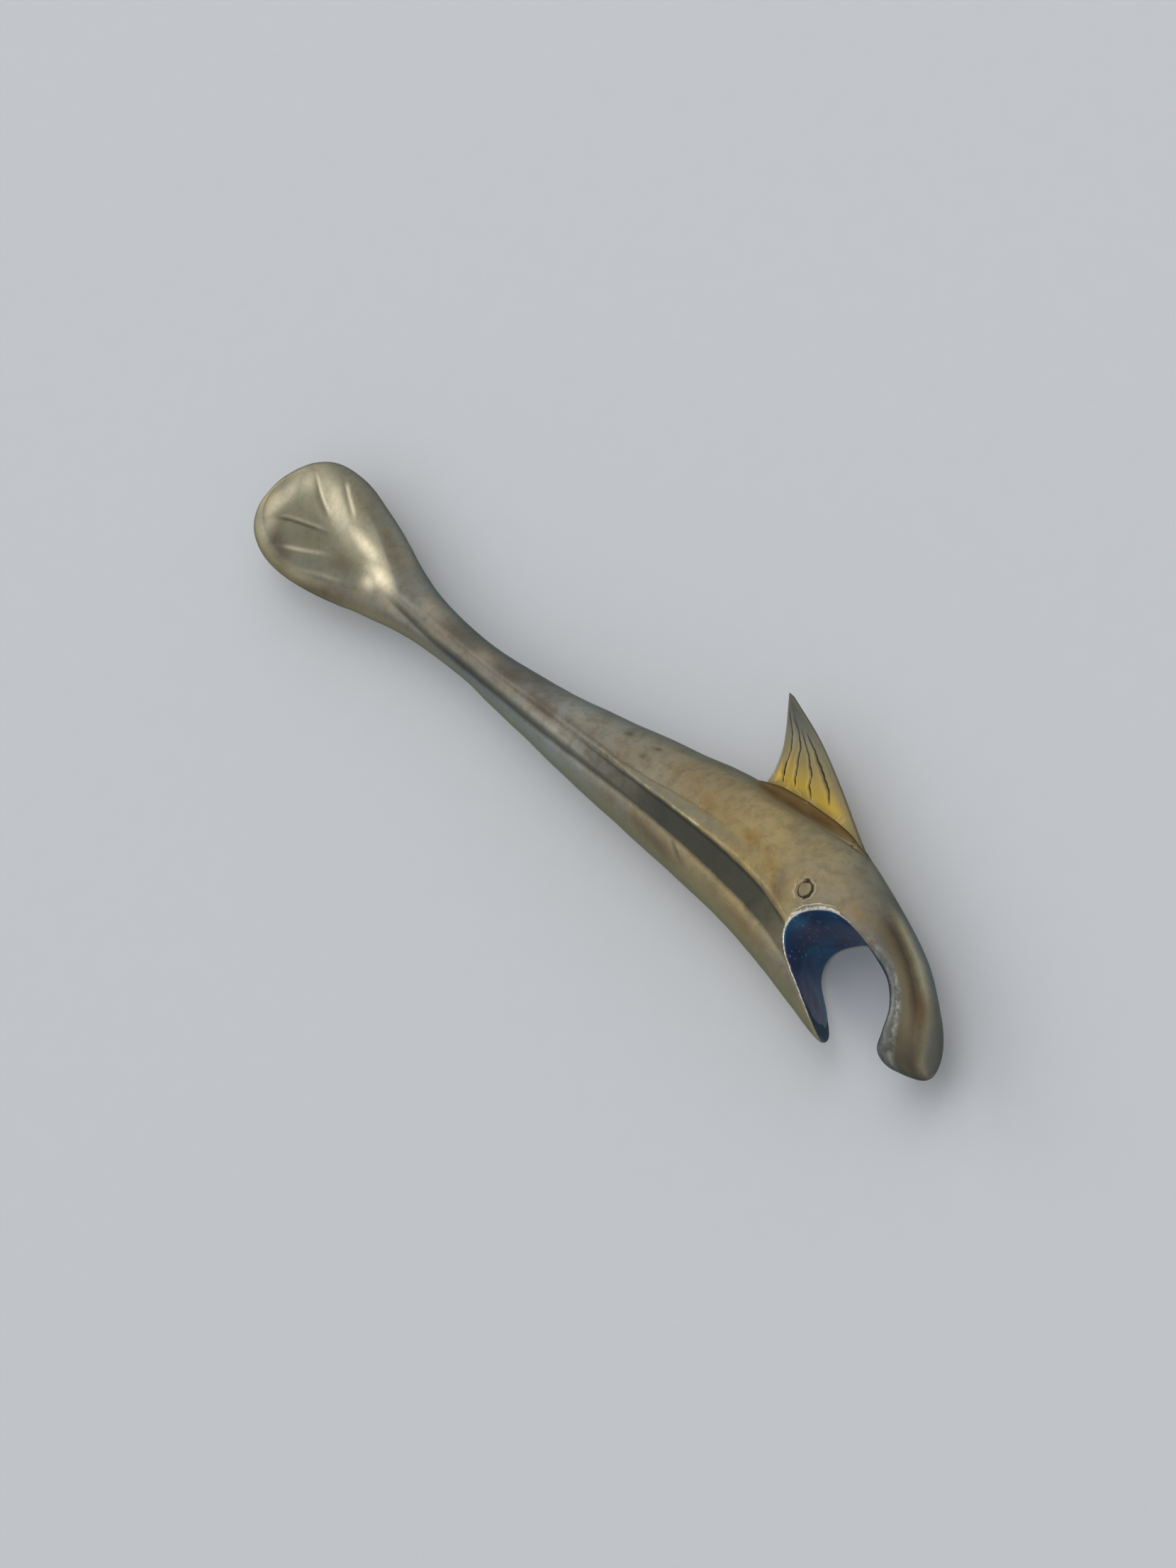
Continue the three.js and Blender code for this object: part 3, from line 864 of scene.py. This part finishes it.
def slab_faces(count, rows):
    """Faces of a thin slab: count by rows vertices on its front, as many on its back, and four edges."""
    n = count * rows
    faces = []
    for i in range(count - 1):
        for j in range(rows - 1):
            a = i * rows + j
            faces.append((a, a + 1, a + rows + 1, a + rows))
            faces.append((n + a, n + a + rows, n + a + rows + 1, n + a + 1))
    edges = [(i * rows, rows, False) for i in range(count - 1)]
    edges += [(i * rows + rows - 1, rows, True) for i in range(count - 1)]
    edges += [(j, 1, True) for j in range(rows - 1)]
    edges += [((count - 1) * rows + j, 1, False) for j in range(rows - 1)]
    for a, step, flip in edges:
        quad = (a, a + step, n + a + step, n + a)
        faces.append(quad[::-1] if flip else quad)
    return faces


# --- Materials ---
LIFTS = (1.1, 1.2, 1.42)


def seen(red, green, blue, gain=1.0):
    """The base colour that looks like this 0 to 255 screen colour under the studio's light."""
    return tuple(min(0.98, gain * lift * (c / 255) ** 2.2) for c, lift in zip((red, green, blue), LIFTS))


LENGTH = (-80, 72)  # what a ramp down the body spans


class Nodes:
    """Short names for building the nodes of a material or of the world."""

    def __init__(self, owner):
        owner.use_nodes = True
        self.owner = owner
        self.tree = owner.node_tree
        self.place = self.add("ShaderNodeTexCoord", {}).outputs

    def put(self, socket, value):
        """Links an output to the socket, or gives the socket a number, a vector or a colour."""
        if isinstance(value, bpy.types.NodeSocket):
            self.tree.links.new(value, socket)
        elif socket.type == "RGBA":
            socket.default_value = (*value, 1)
        else:
            socket.default_value = value

    def add(self, kind, inputs, **settings):
        node = self.tree.nodes.new(kind)
        for name, value in settings.items():
            setattr(node, name, value)
        for name, value in inputs.items():
            self.put(node.inputs[name], value)
        return node

    def attribute(self, name):
        return self.add("ShaderNodeAttribute", {}, attribute_name=name).outputs["Fac"]

    def noise(self, size, detail=4.0, rough=0.55, distort=0.0, stretch=(1, 1, 1), turn=(0, 0, 0)):
        """Noise whose blobs are about size metres across."""
        mapping = {"Vector": self.place["Object"], "Scale": [s / size for s in stretch], "Rotation": turn}
        place = self.add("ShaderNodeMapping", mapping).outputs["Vector"]
        shape = {"Scale": 1.0, "Detail": detail, "Roughness": rough, "Distortion": distort}
        return self.add("ShaderNodeTexNoise", {"Vector": place, **shape}).outputs["Fac"]

    def ramp(self, value, *stops):
        """A colour ramp of (position, colour or grey)."""
        node = self.add("ShaderNodeValToRGB", {"Fac": value})
        elements = node.color_ramp.elements
        while len(elements) < len(stops):
            elements.new(0.5)
        for element, (position, colour) in zip(elements, stops):
            element.position = position
            element.color = (*colour, 1) if isinstance(colour, tuple) else (colour, colour, colour, 1)
        return node.outputs["Color"]

    def math(self, operation, a, b):
        return self.add("ShaderNodeMath", {0: a, 1: b}, operation=operation).outputs["Value"]

    def vector(self, operation, a, b, output="Vector"):
        return self.add("ShaderNodeVectorMath", {0: a, 1: b}, operation=operation).outputs[output]

    def span(self, value, low, high, *stops):
        """A ramp whose positions are given in the value's own units, from low to high."""
        unit = self.math("DIVIDE", self.math("SUBTRACT", value, low), high - low)
        return self.ramp(unit, *(((position - low) / (high - low), colour) for position, colour in stops))

    def along(self, value, *stops):
        """A ramp down the body's length, in millimetres from the datum."""
        return self.span(value, *LENGTH, *stops)

    def times(self, *values):
        total = values[0]
        for value in values[1:]:
            total = self.math("MULTIPLY", total, value)
        return total

    def jitter(self, value, noise, amount):
        """The value moved a little either way by noise."""
        return self.math("ADD", value, self.times(self.math("SUBTRACT", noise, 0.5), 2 * amount))

    def mix(self, share, a, b):
        """Colour a, or colour b where share is 1."""
        return self.add("ShaderNodeMix", {0: share, 6: a, 7: b}, data_type="RGBA").outputs[2]

    def cover(self, colour, tone, *shares):
        """The colour with a tone over it, as much as the shares multiplied together."""
        return self.mix(self.times(*shares), colour, tone)

    def bump(self, height, strength, distance, normal=None):
        inputs = {"Height": height, "Strength": strength, "Distance": distance}
        if normal is not None:
            inputs["Normal"] = normal
        return self.add("ShaderNodeBump", inputs).outputs["Normal"]

    def finish(self, colour, roughness, normal, metallic, tint=(1, 1, 1)):
        shader = self.tree.nodes["Principled BSDF"]
        self.put(shader.inputs["Base Color"], colour)
        self.put(shader.inputs["Roughness"], roughness)
        self.put(shader.inputs["Metallic"], metallic)
        self.put(shader.inputs["Specular Tint"], tint)
        if normal is not None:
            self.put(shader.inputs["Normal"], normal)
        return self.owner


RIM_TINT = (0.27, 0.38, 0.42)  # brass turns blue-grey where it is seen edge on


def scratches(n, size=0.0011, turns=((0, 0, 0.5), (0, 0, -0.7), (0, 0, 1.4))):
    """Fine short scratches in a few directions, as one height from 0 to 1."""
    total = None
    for turn in turns:
        wave = n.noise(size, 2.0, 0.5, 0.2, stretch=(0.12, 3.0, 1), turn=turn)
        line = n.ramp(wave, (0.65, 0), (0.7, 1))
        total = line if total is None else n.math("MAXIMUM", total, line)
    return total


def brass_tones(n, x, place, clouds, small):
    """Tones down the body's length and round it, with mottling, rust, stains and a faint seam."""
    colour = n.along(
        place,
        (-76, seen(158, 146, 112)),
        (-58, seen(138, 130, 106)),
        (-44, seen(136, 130, 114)),
        (-22, seen(124, 116, 102)),
        (-8, seen(160, 154, 136)),
        (8, seen(160, 146, 120)),
        (24, seen(170, 146, 100)),
        (36, seen(186, 158, 100)),
        (44, seen(160, 142, 106)),
        (53, seen(134, 122, 100)),
        (66, seen(112, 104, 88)),
    )
    patches = n.ramp(clouds, (0.36, 0), (0.64, 1))
    colour = n.cover(colour, seen(116, 108, 90), patches, 0.45)
    colour = n.cover(colour, seen(160, 130, 80), n.ramp(small, (0.42, 0), (0.7, 1)), 0.32)
    mottle = n.ramp(n.noise(0.0017, 5.0, 0.7, 0.4), (0.46, 0), (0.68, 1))
    colour = n.cover(colour, seen(98, 84, 62), mottle, 0.42)
    rust = n.times(n.attribute("rust"), n.ramp(small, (0.3, 0.4), (0.6, 1)))
    colour = n.mix(rust, colour, seen(146, 104, 52))
    seam = n.jitter(n.attribute("seam"), small, 0.3)
    pale = n.span(seam, -4, 4, (-1.9, 0), (-1.3, 1), (-0.3, 1), (0.0, 0))
    pale = n.times(pale, n.along(x, (6, 0), (14, 1), (26, 1), (36, 0)))
    colour = n.cover(colour, seen(132, 128, 104), pale, 0.5)
    line = n.span(seam, -4, 4, (-0.25, 0), (0.0, 1), (0.2, 0))
    line = n.times(line, n.along(x, (-8, 0), (4, 1), (20, 0.9), (30, 0)))
    colour = n.cover(colour, seen(92, 74, 50), line, 0.45)
    girth = n.attribute("girth")
    dish = n.attribute("dish")
    colour = n.cover(colour, seen(166, 157, 124), dish, 0.45)
    belly = n.span(girth, -1, 1, (-0.95, 1), (-0.35, 0))
    colour = n.cover(colour, seen(104, 106, 98), belly, 0.35)
    cool = n.times(belly, n.along(x, (-40, 0), (-26, 1), (-4, 1), (6, 0)))
    colour = n.cover(colour, seen(148, 150, 138), cool, 0.8)
    keel = n.span(girth, -1, 1, (-0.97, 1), (-0.72, 0))
    colour = n.cover(colour, seen(158, 142, 100), keel, 0.8)
    # Painted reflection: blue-grey along the back, where the metal is seen edge on.
    ridge_reflection = n.span(girth, -1, 1, (0.72, 0), (0.97, 1))
    colour = n.cover(colour, seen(112, 118, 108), ridge_reflection, 0.4)
    colour = n.cover(colour, seen(84, 68, 54), n.attribute("stain"), n.ramp(small, (0.25, 0.5), (0.55, 1)))
    brazed = n.times(n.attribute("brazed"), n.ramp(small, (0.25, 0.6), (0.6, 1)))
    colour = n.cover(colour, seen(132, 112, 78), brazed, 0.8)
    return colour


def flank_band(n, colour, x, place, small):
    """The dark band in the crease, partly patina and partly painted shade, with a painted highlight as a
    fine glint along its upper edge.
    """
    across = n.jitter(n.attribute("across"), small, 0.06)
    band = n.span(across, -2, 3, (-0.12, 0), (0.04, 1), (0.9, 1), (1.0, 0))
    reach = n.along(place, (-8, 0), (4, 0.65), (13, 0.95), (18, 1), (38, 1), (45, 0.6), (50, 0))
    band = n.times(band, reach)
    trough = n.span(across, -2, 3, (-0.15, 0), (0.06, 1), (0.22, 0.85), (0.5, 0))
    trough = n.times(trough, n.along(x, (-52, 0), (-42, 0.8), (20, 1), (40, 0.9), (46, 0)))
    shade = n.math("MAXIMUM", band, trough)
    colour = n.cover(colour, seen(62, 62, 54), shade, 0.94)
    # Painted highlight: the glint on the crease's upper edge.
    glint = n.span(across, -2, 3, (0.98, 0), (1.04, 1), (1.12, 0))
    glint = n.times(glint, n.along(x, (10, 0), (17, 1), (27, 1), (31, 0)))
    glint = n.times(glint, n.ramp(n.noise(0.0022, 2), (0.42, 0), (0.55, 1)))
    colour = n.cover(colour, seen(214, 196, 146), glint, 0.8)
    return colour


def jaw_tones(n, colour, x, small):
    """Pale and pitted inside the jaw, then olive, a brown band of painted reflection and olive again towards
    the nose's outline, with a painted highlight on the inner bevel.
    """
    jaw = n.jitter(n.attribute("jaw"), small, 0.07)
    jaw_colour = n.ramp(
        jaw,
        (0.0, seen(98, 98, 92)),
        (0.22, seen(100, 98, 90)),
        (0.38, seen(98, 90, 72)),
        (0.52, seen(104, 90, 64)),
        # This brown is painted reflection: a dark band along the upper jaw.
        (0.66, seen(76, 62, 50)),
        (0.76, seen(116, 100, 70)),
        (0.88, seen(178, 164, 126)),
        (0.98, seen(130, 126, 112)),
    )
    jaw_share = n.attribute("jaw_share")
    colour = n.mix(n.times(jaw_share, 0.85), colour, jaw_colour)
    rubbed = n.ramp(n.noise(0.0016, 4.0, 0.7, 0.5), (0.42, 0), (0.6, 1))
    bevel = n.ramp(jaw, (0.2, 1), (0.34, 0))
    colour = n.cover(colour, seen(146, 144, 132), jaw_share, bevel, rubbed, 0.5)
    # Painted highlight along the inner bevel near the nose.
    jaw_highlight = n.times(jaw_share, rubbed, n.ramp(jaw, (0.24, 0), (0.31, 1), (0.4, 0)))
    jaw_highlight = n.times(jaw_highlight, n.along(x, (59, 0), (63, 1), (67, 1), (69, 0)))
    colour = n.cover(colour, seen(196, 188, 164), jaw_highlight, 0.7)
    colour = n.cover(colour, seen(124, 84, 54), n.attribute("rust"), jaw_share, 0.6)
    colour = n.cover(colour, seen(100, 90, 72), n.along(x, (64, 0), (70, 1)), 0.55)
    return colour


def mouth_edge(n, colour, small):
    """A painted highlight along the rolled lip of the mouth's edge, and painted blue-grey reflection on the
    wall below it. Gives the colour, and where the lip lies.
    """
    edge = n.attribute("edge")
    around = n.attribute("around")
    width = n.ramp(around, (0.1, 0.3), (0.26, 0.42), (0.33, 1), (0.47, 1), (0.56, 0.45))
    ragged = n.jitter(n.math("DIVIDE", edge, width), n.noise(0.0011, 5.0, 0.8), 0.75)
    # Painted reflection: blue-grey on the mouth's wall below the edge.
    inner = n.span(edge, -2, 6, (-0.5, 1), (-0.1, 0))
    colour = n.cover(colour, seen(80, 88, 100), inner, 0.9)
    # Painted highlight along the lip of the edge, broken up, with a second stroke.
    lip_highlight = n.span(ragged, -2, 6, (-0.3, 0), (-0.16, 1), (0.24, 1), (0.42, 0))
    lip_highlight = n.times(lip_highlight, n.ramp(around, (0.1, 0), (0.16, 1), (0.5, 1), (0.58, 0)))
    broken = n.ramp(n.noise(0.0006, 4.0, 0.8), (0.36, 0.25), (0.5, 1))
    lip_highlight = n.times(lip_highlight, broken)
    stroke = n.span(n.jitter(edge, small, 0.5), -2, 6, (0.62, 0), (0.72, 1), (0.82, 0))
    stroke = n.times(stroke, broken, n.ramp(around, (0.36, 0), (0.39, 1), (0.46, 1), (0.5, 0)))
    lip_highlight = n.math("MAXIMUM", lip_highlight, n.times(stroke, 0.8))
    colour = n.cover(colour, (0.95, 0.92, 0.84), lip_highlight, 0.92)
    return colour, lip_highlight


def brass_relief(n, x, fine, lip_highlight):
    """Scratches, grain and pits, and the raised lip along the mouth's edge."""
    cut = scratches(n)
    pits = n.ramp(n.noise(0.0013, 1.0, 0.4), (0.24, 0), (0.3, 1))
    pits = n.math("MAXIMUM", pits, n.along(x, (-20, 1), (0, 0)))
    height = n.math("SUBTRACT", n.times(fine, 0.5), n.times(cut, 0.25))
    height = n.math("ADD", height, n.times(lip_highlight, 1.2))
    normal = n.bump(n.noise(0.003, 4.0, 0.6, 0.3), 0.22, 0.00025)
    normal = n.bump(height, 0.3, 0.00006, normal)
    normal = n.bump(pits, 0.25, 0.0001, normal)
    return normal


def brass_material():
    """Old brass: golden on the cheek, olive on the back, brown down the stem, with a painted highlight along
    the mouth's edge.
    """
    n = Nodes(bpy.data.materials.new("aged_brass"))
    x = n.attribute("along")
    clouds = n.noise(0.012, 5.0, 0.62, 0.6)
    small = n.noise(0.0032, 4.0, 0.6, 0.3)
    fine = n.noise(0.0005, 3.0, 0.65)
    place = n.jitter(x, clouds, 9)
    colour = brass_tones(n, x, place, clouds, small)
    colour = flank_band(n, colour, x, place, small)
    colour = jaw_tones(n, colour, x, small)
    # Painted highlights: warm cream marks on the dish, beside the tail strokes and on the eye's burr.
    painted_highlight = n.times(n.attribute("painted_highlight"), n.ramp(small, (0.3, 0.55), (0.55, 1)))
    colour = n.cover(colour, (1.0, 0.88, 0.65), painted_highlight, 0.9)
    # Painted shade in the tail's strokes and in the eye's ring.
    colour = n.cover(colour, seen(48, 46, 40), n.attribute("engraved"), 0.85)

    colour, lip_highlight = mouth_edge(n, colour, small)
    specks = n.ramp(fine, (0.6, 0), (0.74, 1))
    colour = n.cover(colour, seen(86, 74, 56), specks, 0.38)

    rough = n.math("ADD", n.times(clouds, 0.14), 0.34)
    rough = n.math("SUBTRACT", rough, n.times(n.attribute("dish"), 0.12))
    rough = n.math("SUBTRACT", rough, n.times(lip_highlight, 0.12))
    return n.finish(colour, rough, brass_relief(n, x, fine, lip_highlight), 0.88, RIM_TINT)


def fin_material():
    """Golden brass near the root, olive above and grey at the tip, with painted shade down the chiselled
    rays and painted blue reflection in the first.
    """
    n = Nodes(bpy.data.materials.new("fin_brass"))
    patch = n.noise(0.0035, 4.0, 0.62, 0.5)
    height = n.jitter(n.attribute("height"), patch, 0.07)
    colour = n.ramp(
        height,
        (0.02, seen(138, 112, 62)),
        (0.1, seen(166, 136, 70)),
        (0.17, seen(190, 152, 62)),
        (0.3, seen(178, 146, 76)),
        (0.45, seen(154, 132, 84)),
        (0.68, seen(140, 128, 98)),
        (0.84, seen(106, 102, 90)),
        (0.97, seen(76, 78, 74)),
    )
    dull = n.span(n.attribute("rim"), 0, 4, (0.3, 1), (1.5, 0))
    colour = n.cover(colour, seen(118, 110, 88), dull, 0.7)
    # Painted shade down each ray, and painted blue reflection where the first ray widens.
    groove = n.attribute("groove")
    colour = n.cover(colour, seen(96, 90, 64), groove, 0.6)
    colour = n.mix(n.attribute("engraved"), colour, seen(28, 36, 38))
    chased = n.ramp(n.noise(0.0024, 1.0, 0.5, 0.8), (0.5, 0), (0.54, 1), (0.58, 0))
    root = n.ramp(height, (0.04, 0), (0.07, 1), (0.13, 1), (0.18, 0))
    chased = n.times(chased, root)
    colour = n.cover(colour, seen(196, 170, 110), chased, 0.35)
    rough = n.math("ADD", n.times(patch, 0.2), 0.3)
    fine = n.noise(0.0004, 3.0, 0.6)
    relief = n.math("ADD", n.times(fine, 0.5), chased)
    return n.finish(colour, rough, n.bump(relief, 0.3, 0.00006), 0.85, RIM_TINT)


def braze_material():
    """Dull brown braze metal with file marks along it; its brown is partly the braze's own and partly
    painted shade of the facet that faces up.
    """
    n = Nodes(bpy.data.materials.new("braze_metal"))
    patch = n.noise(0.004, 5.0, 0.6, 0.4, stretch=(0.4, 1, 1))
    colour = n.ramp(patch, (0.3, seen(108, 80, 48)), (0.5, seen(124, 95, 58)), (0.72, seen(144, 118, 76)))
    soft = n.span(n.jitter(n.attribute("rim"), patch, 0.5), -1, 4, (0.0, 1), (0.9, 0))
    colour = n.cover(colour, seen(138, 118, 84), soft, 0.8)
    crown = n.span(n.attribute("height"), -3, 2, (0.1, 0), (0.9, 1))
    colour = n.cover(colour, seen(136, 112, 60), crown, 0.7)
    files = n.noise(0.0006, 3.0, 0.5, 0.0, stretch=(0.08, 1.4, 1.4))
    rough = n.math("ADD", n.times(patch, 0.2), 0.36)
    normal = n.bump(n.math("ADD", n.times(files, 0.7), n.times(patch, 0.5)), 0.3, 0.00008)
    return n.finish(colour, rough, normal, 0.85, RIM_TINT)


def mouth_reflection_material():
    """Painted blue reflection for the mouth's wall: dark blue, more teal in patches, with pale fine
    scratches.
    """
    n = Nodes(bpy.data.materials.new("blue_enamel"))
    cloud = n.noise(0.0055, 4.0, 0.55, 0.6)
    colour = n.ramp(
        cloud,
        (0.34, seen(44, 52, 68, 1.3)),
        (0.5, seen(38, 58, 78, 1.3)),
        (0.64, seen(28, 76, 98, 1.3)),
    )
    violet = n.ramp(n.noise(0.0045, 3.0, 0.5, 0.3), (0.48, 0), (0.62, 1))
    colour = n.cover(colour, seen(60, 52, 74, 1.3), violet, 0.6)
    lines = scratches(n, 0.0011, ((0.4, 0.2, 0.3), (0.9, 1.2, -0.4), (1.3, 0.5, 1)))
    patchy = n.ramp(n.noise(0.0026, 3.0, 0.6), (0.42, 0), (0.6, 1))
    marks = n.times(lines, patchy)
    colour = n.cover(colour, seen(110, 140, 166, 1.3), marks, 0.6)
    rough = n.math("ADD", n.times(marks, 0.3), 0.34)
    normal = n.bump(n.math("SUBTRACT", cloud, marks), 0.3, 0.0001)
    return n.finish(colour, rough, normal, 0)


def plain_brass(name):
    """Brass on a piece too small for the painted patina."""
    n = Nodes(bpy.data.materials.new(name))
    patch = n.noise(0.0006, 4.0, 0.6)
    colour = n.ramp(patch, (0.35, seen(84, 66, 44)), (0.65, seen(150, 124, 80)))
    rough = n.math("ADD", n.times(patch, 0.2), 0.3)
    return n.finish(colour, rough, n.bump(n.noise(0.0003, 3.0, 0.6), 0.25, 0.00005), 1.0)


# --- Put it together ---
def use(piece, material, slot, *nodes):
    piece.data.materials.append(material)
    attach(piece, "root")
    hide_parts(*nodes)


brass = brass_material()
use(make_body(), brass, "aged_brass", "body_casting")
use(make_eye("eye_near", 1), brass, "aged_brass", "eye_stud_near")
use(make_eye("eye_far", -1), brass, "aged_brass", "eye_stud_far")
use(make_fin(), fin_material(), "fin_brass", "dorsal_fin")
use(make_collar(), braze_material(), "braze_metal", "fin_braze")
# The mouth's blue is painted reflection, on a thin sheet over the wall.
use(make_mouth_reflection_sheet(), mouth_reflection_material(), "blue_enamel", "mouth_enamel")
pin_brass = plain_brass("pin_brass")
for pin in PINS:
    use(make_pin(pin), pin_brass, "aged_brass", pin)


# --- Studio ---
def make_floor():
    size = 3.0
    mesh = bpy.data.meshes.new("floor")
    corners = [(-size, -size, 0), (size, -size, 0), (size, size, 0), (-size, size, 0)]
    mesh.from_pydata(corners, [], [(0, 1, 2, 3)])
    floor = bpy.data.objects.new("floor", mesh)
    bpy.context.scene.collection.objects.link(floor)
    floor.location.z = CAD_LOW.z - 0.00002
    n = Nodes(bpy.data.materials.new("pale_floor"))
    grain = n.noise(0.004, 3.0, 0.5)
    colour = n.ramp(grain, (0.3, (0.735, 0.745, 0.775)), (0.7, (0.745, 0.755, 0.785)))
    rough = n.math("ADD", n.math("MULTIPLY", grain, 0.05), 0.6)
    floor.data.materials.append(n.finish(colour, rough, None, 0.0))


# The light round the object: direction, how narrow, how much, colour
GLOWS = [
    ((-0.6, 0.2, 0.77), 10, -0.3, (1.0, 1.0, 1.0)),
    ((-0.95, -0.05, 0.28), 26, 2.0, (1.0, 0.97, 0.9)),
    ((-0.65, -0.42, 0.63), 40, 1.1, (1.0, 0.97, 0.9)),
    ((0.1, 0.1, 1.0), 10, 0.3, (1.0, 1.0, 1.0)),
    ((-0.5, 0.75, 0.4), 8, 0.22, (1.0, 0.98, 0.94)),
    ((0.8, -0.3, 0.5), 8, 0.3, (0.97, 0.99, 1.0)),
]


AMBIENT = ((0, 0, 1), 0, 0.5, (0.93, 0.97, 1.0))
BEHIND = 0.0001  # what a glow's narrowing starts from on its dark side


def make_studio():
    """A pale surround with broad soft glows and one dark gap overhead, and a soft key light."""
    surround = bpy.data.worlds.new("studio")
    bpy.context.scene.world = surround
    n = Nodes(surround)
    colour = (0, 0, 0)
    for direction, narrow, amount, tint in [AMBIENT, *GLOWS]:
        toward = n.vector("DOT_PRODUCT", n.place["Generated"], Vector(direction).normalized(), "Value")
        glow = n.math("POWER", n.math("MAXIMUM", toward, BEHIND), narrow)
        glow = n.vector("MULTIPLY", glow, [amount * c for c in tint])
        colour = n.vector("ADD", colour, glow)
    n.put(n.tree.nodes["Background"].inputs["Color"], colour)
    n.put(n.tree.nodes["Background"].inputs["Strength"], 1.0)
    data = bpy.data.lights.new("key", "AREA")
    data.size = 1.2
    data.energy = 3.0
    data.color = (1.0, 0.98, 0.95)
    key = bpy.data.objects.new("key", data)
    key.location = (-0.3, 0.5, 1.3)
    key.rotation_euler = (-key.location).to_track_quat("-Z", "Y").to_euler()
    bpy.context.scene.collection.objects.link(key)


def make_camera():
    """Over the head end, 41 degrees from the flank's normal, with the nose to the lower right."""
    distance = 0.70
    tilt = math.radians(41)
    roll = math.radians(50)
    aim = Vector(world((0.0, 0.0, 0.0)).tolist())
    data = bpy.data.cameras.new("camera")
    camera = bpy.data.objects.new("camera", data)
    bpy.context.scene.collection.objects.link(camera)
    back = Vector((math.sin(tilt), 0, math.cos(tilt)))
    right = Vector((0, 1, 0))
    up = back.cross(right)
    level = Matrix((right, up, back)).transposed()
    turned = level @ Matrix.Rotation(-roll, 3, "Z")
    camera.matrix_world = Matrix.Translation(aim + back * distance) @ turned.to_4x4()
    data.sensor_fit = "AUTO"
    data.sensor_width = 36
    data.lens = 124.5
    data.shift_x = -0.007
    data.shift_y = -0.0086
    data.clip_end = 20
    data.dof.use_dof = False
    bpy.context.scene.camera = camera


make_floor()
make_studio()
make_camera()
bpy.context.scene.view_settings.view_transform = "Standard"
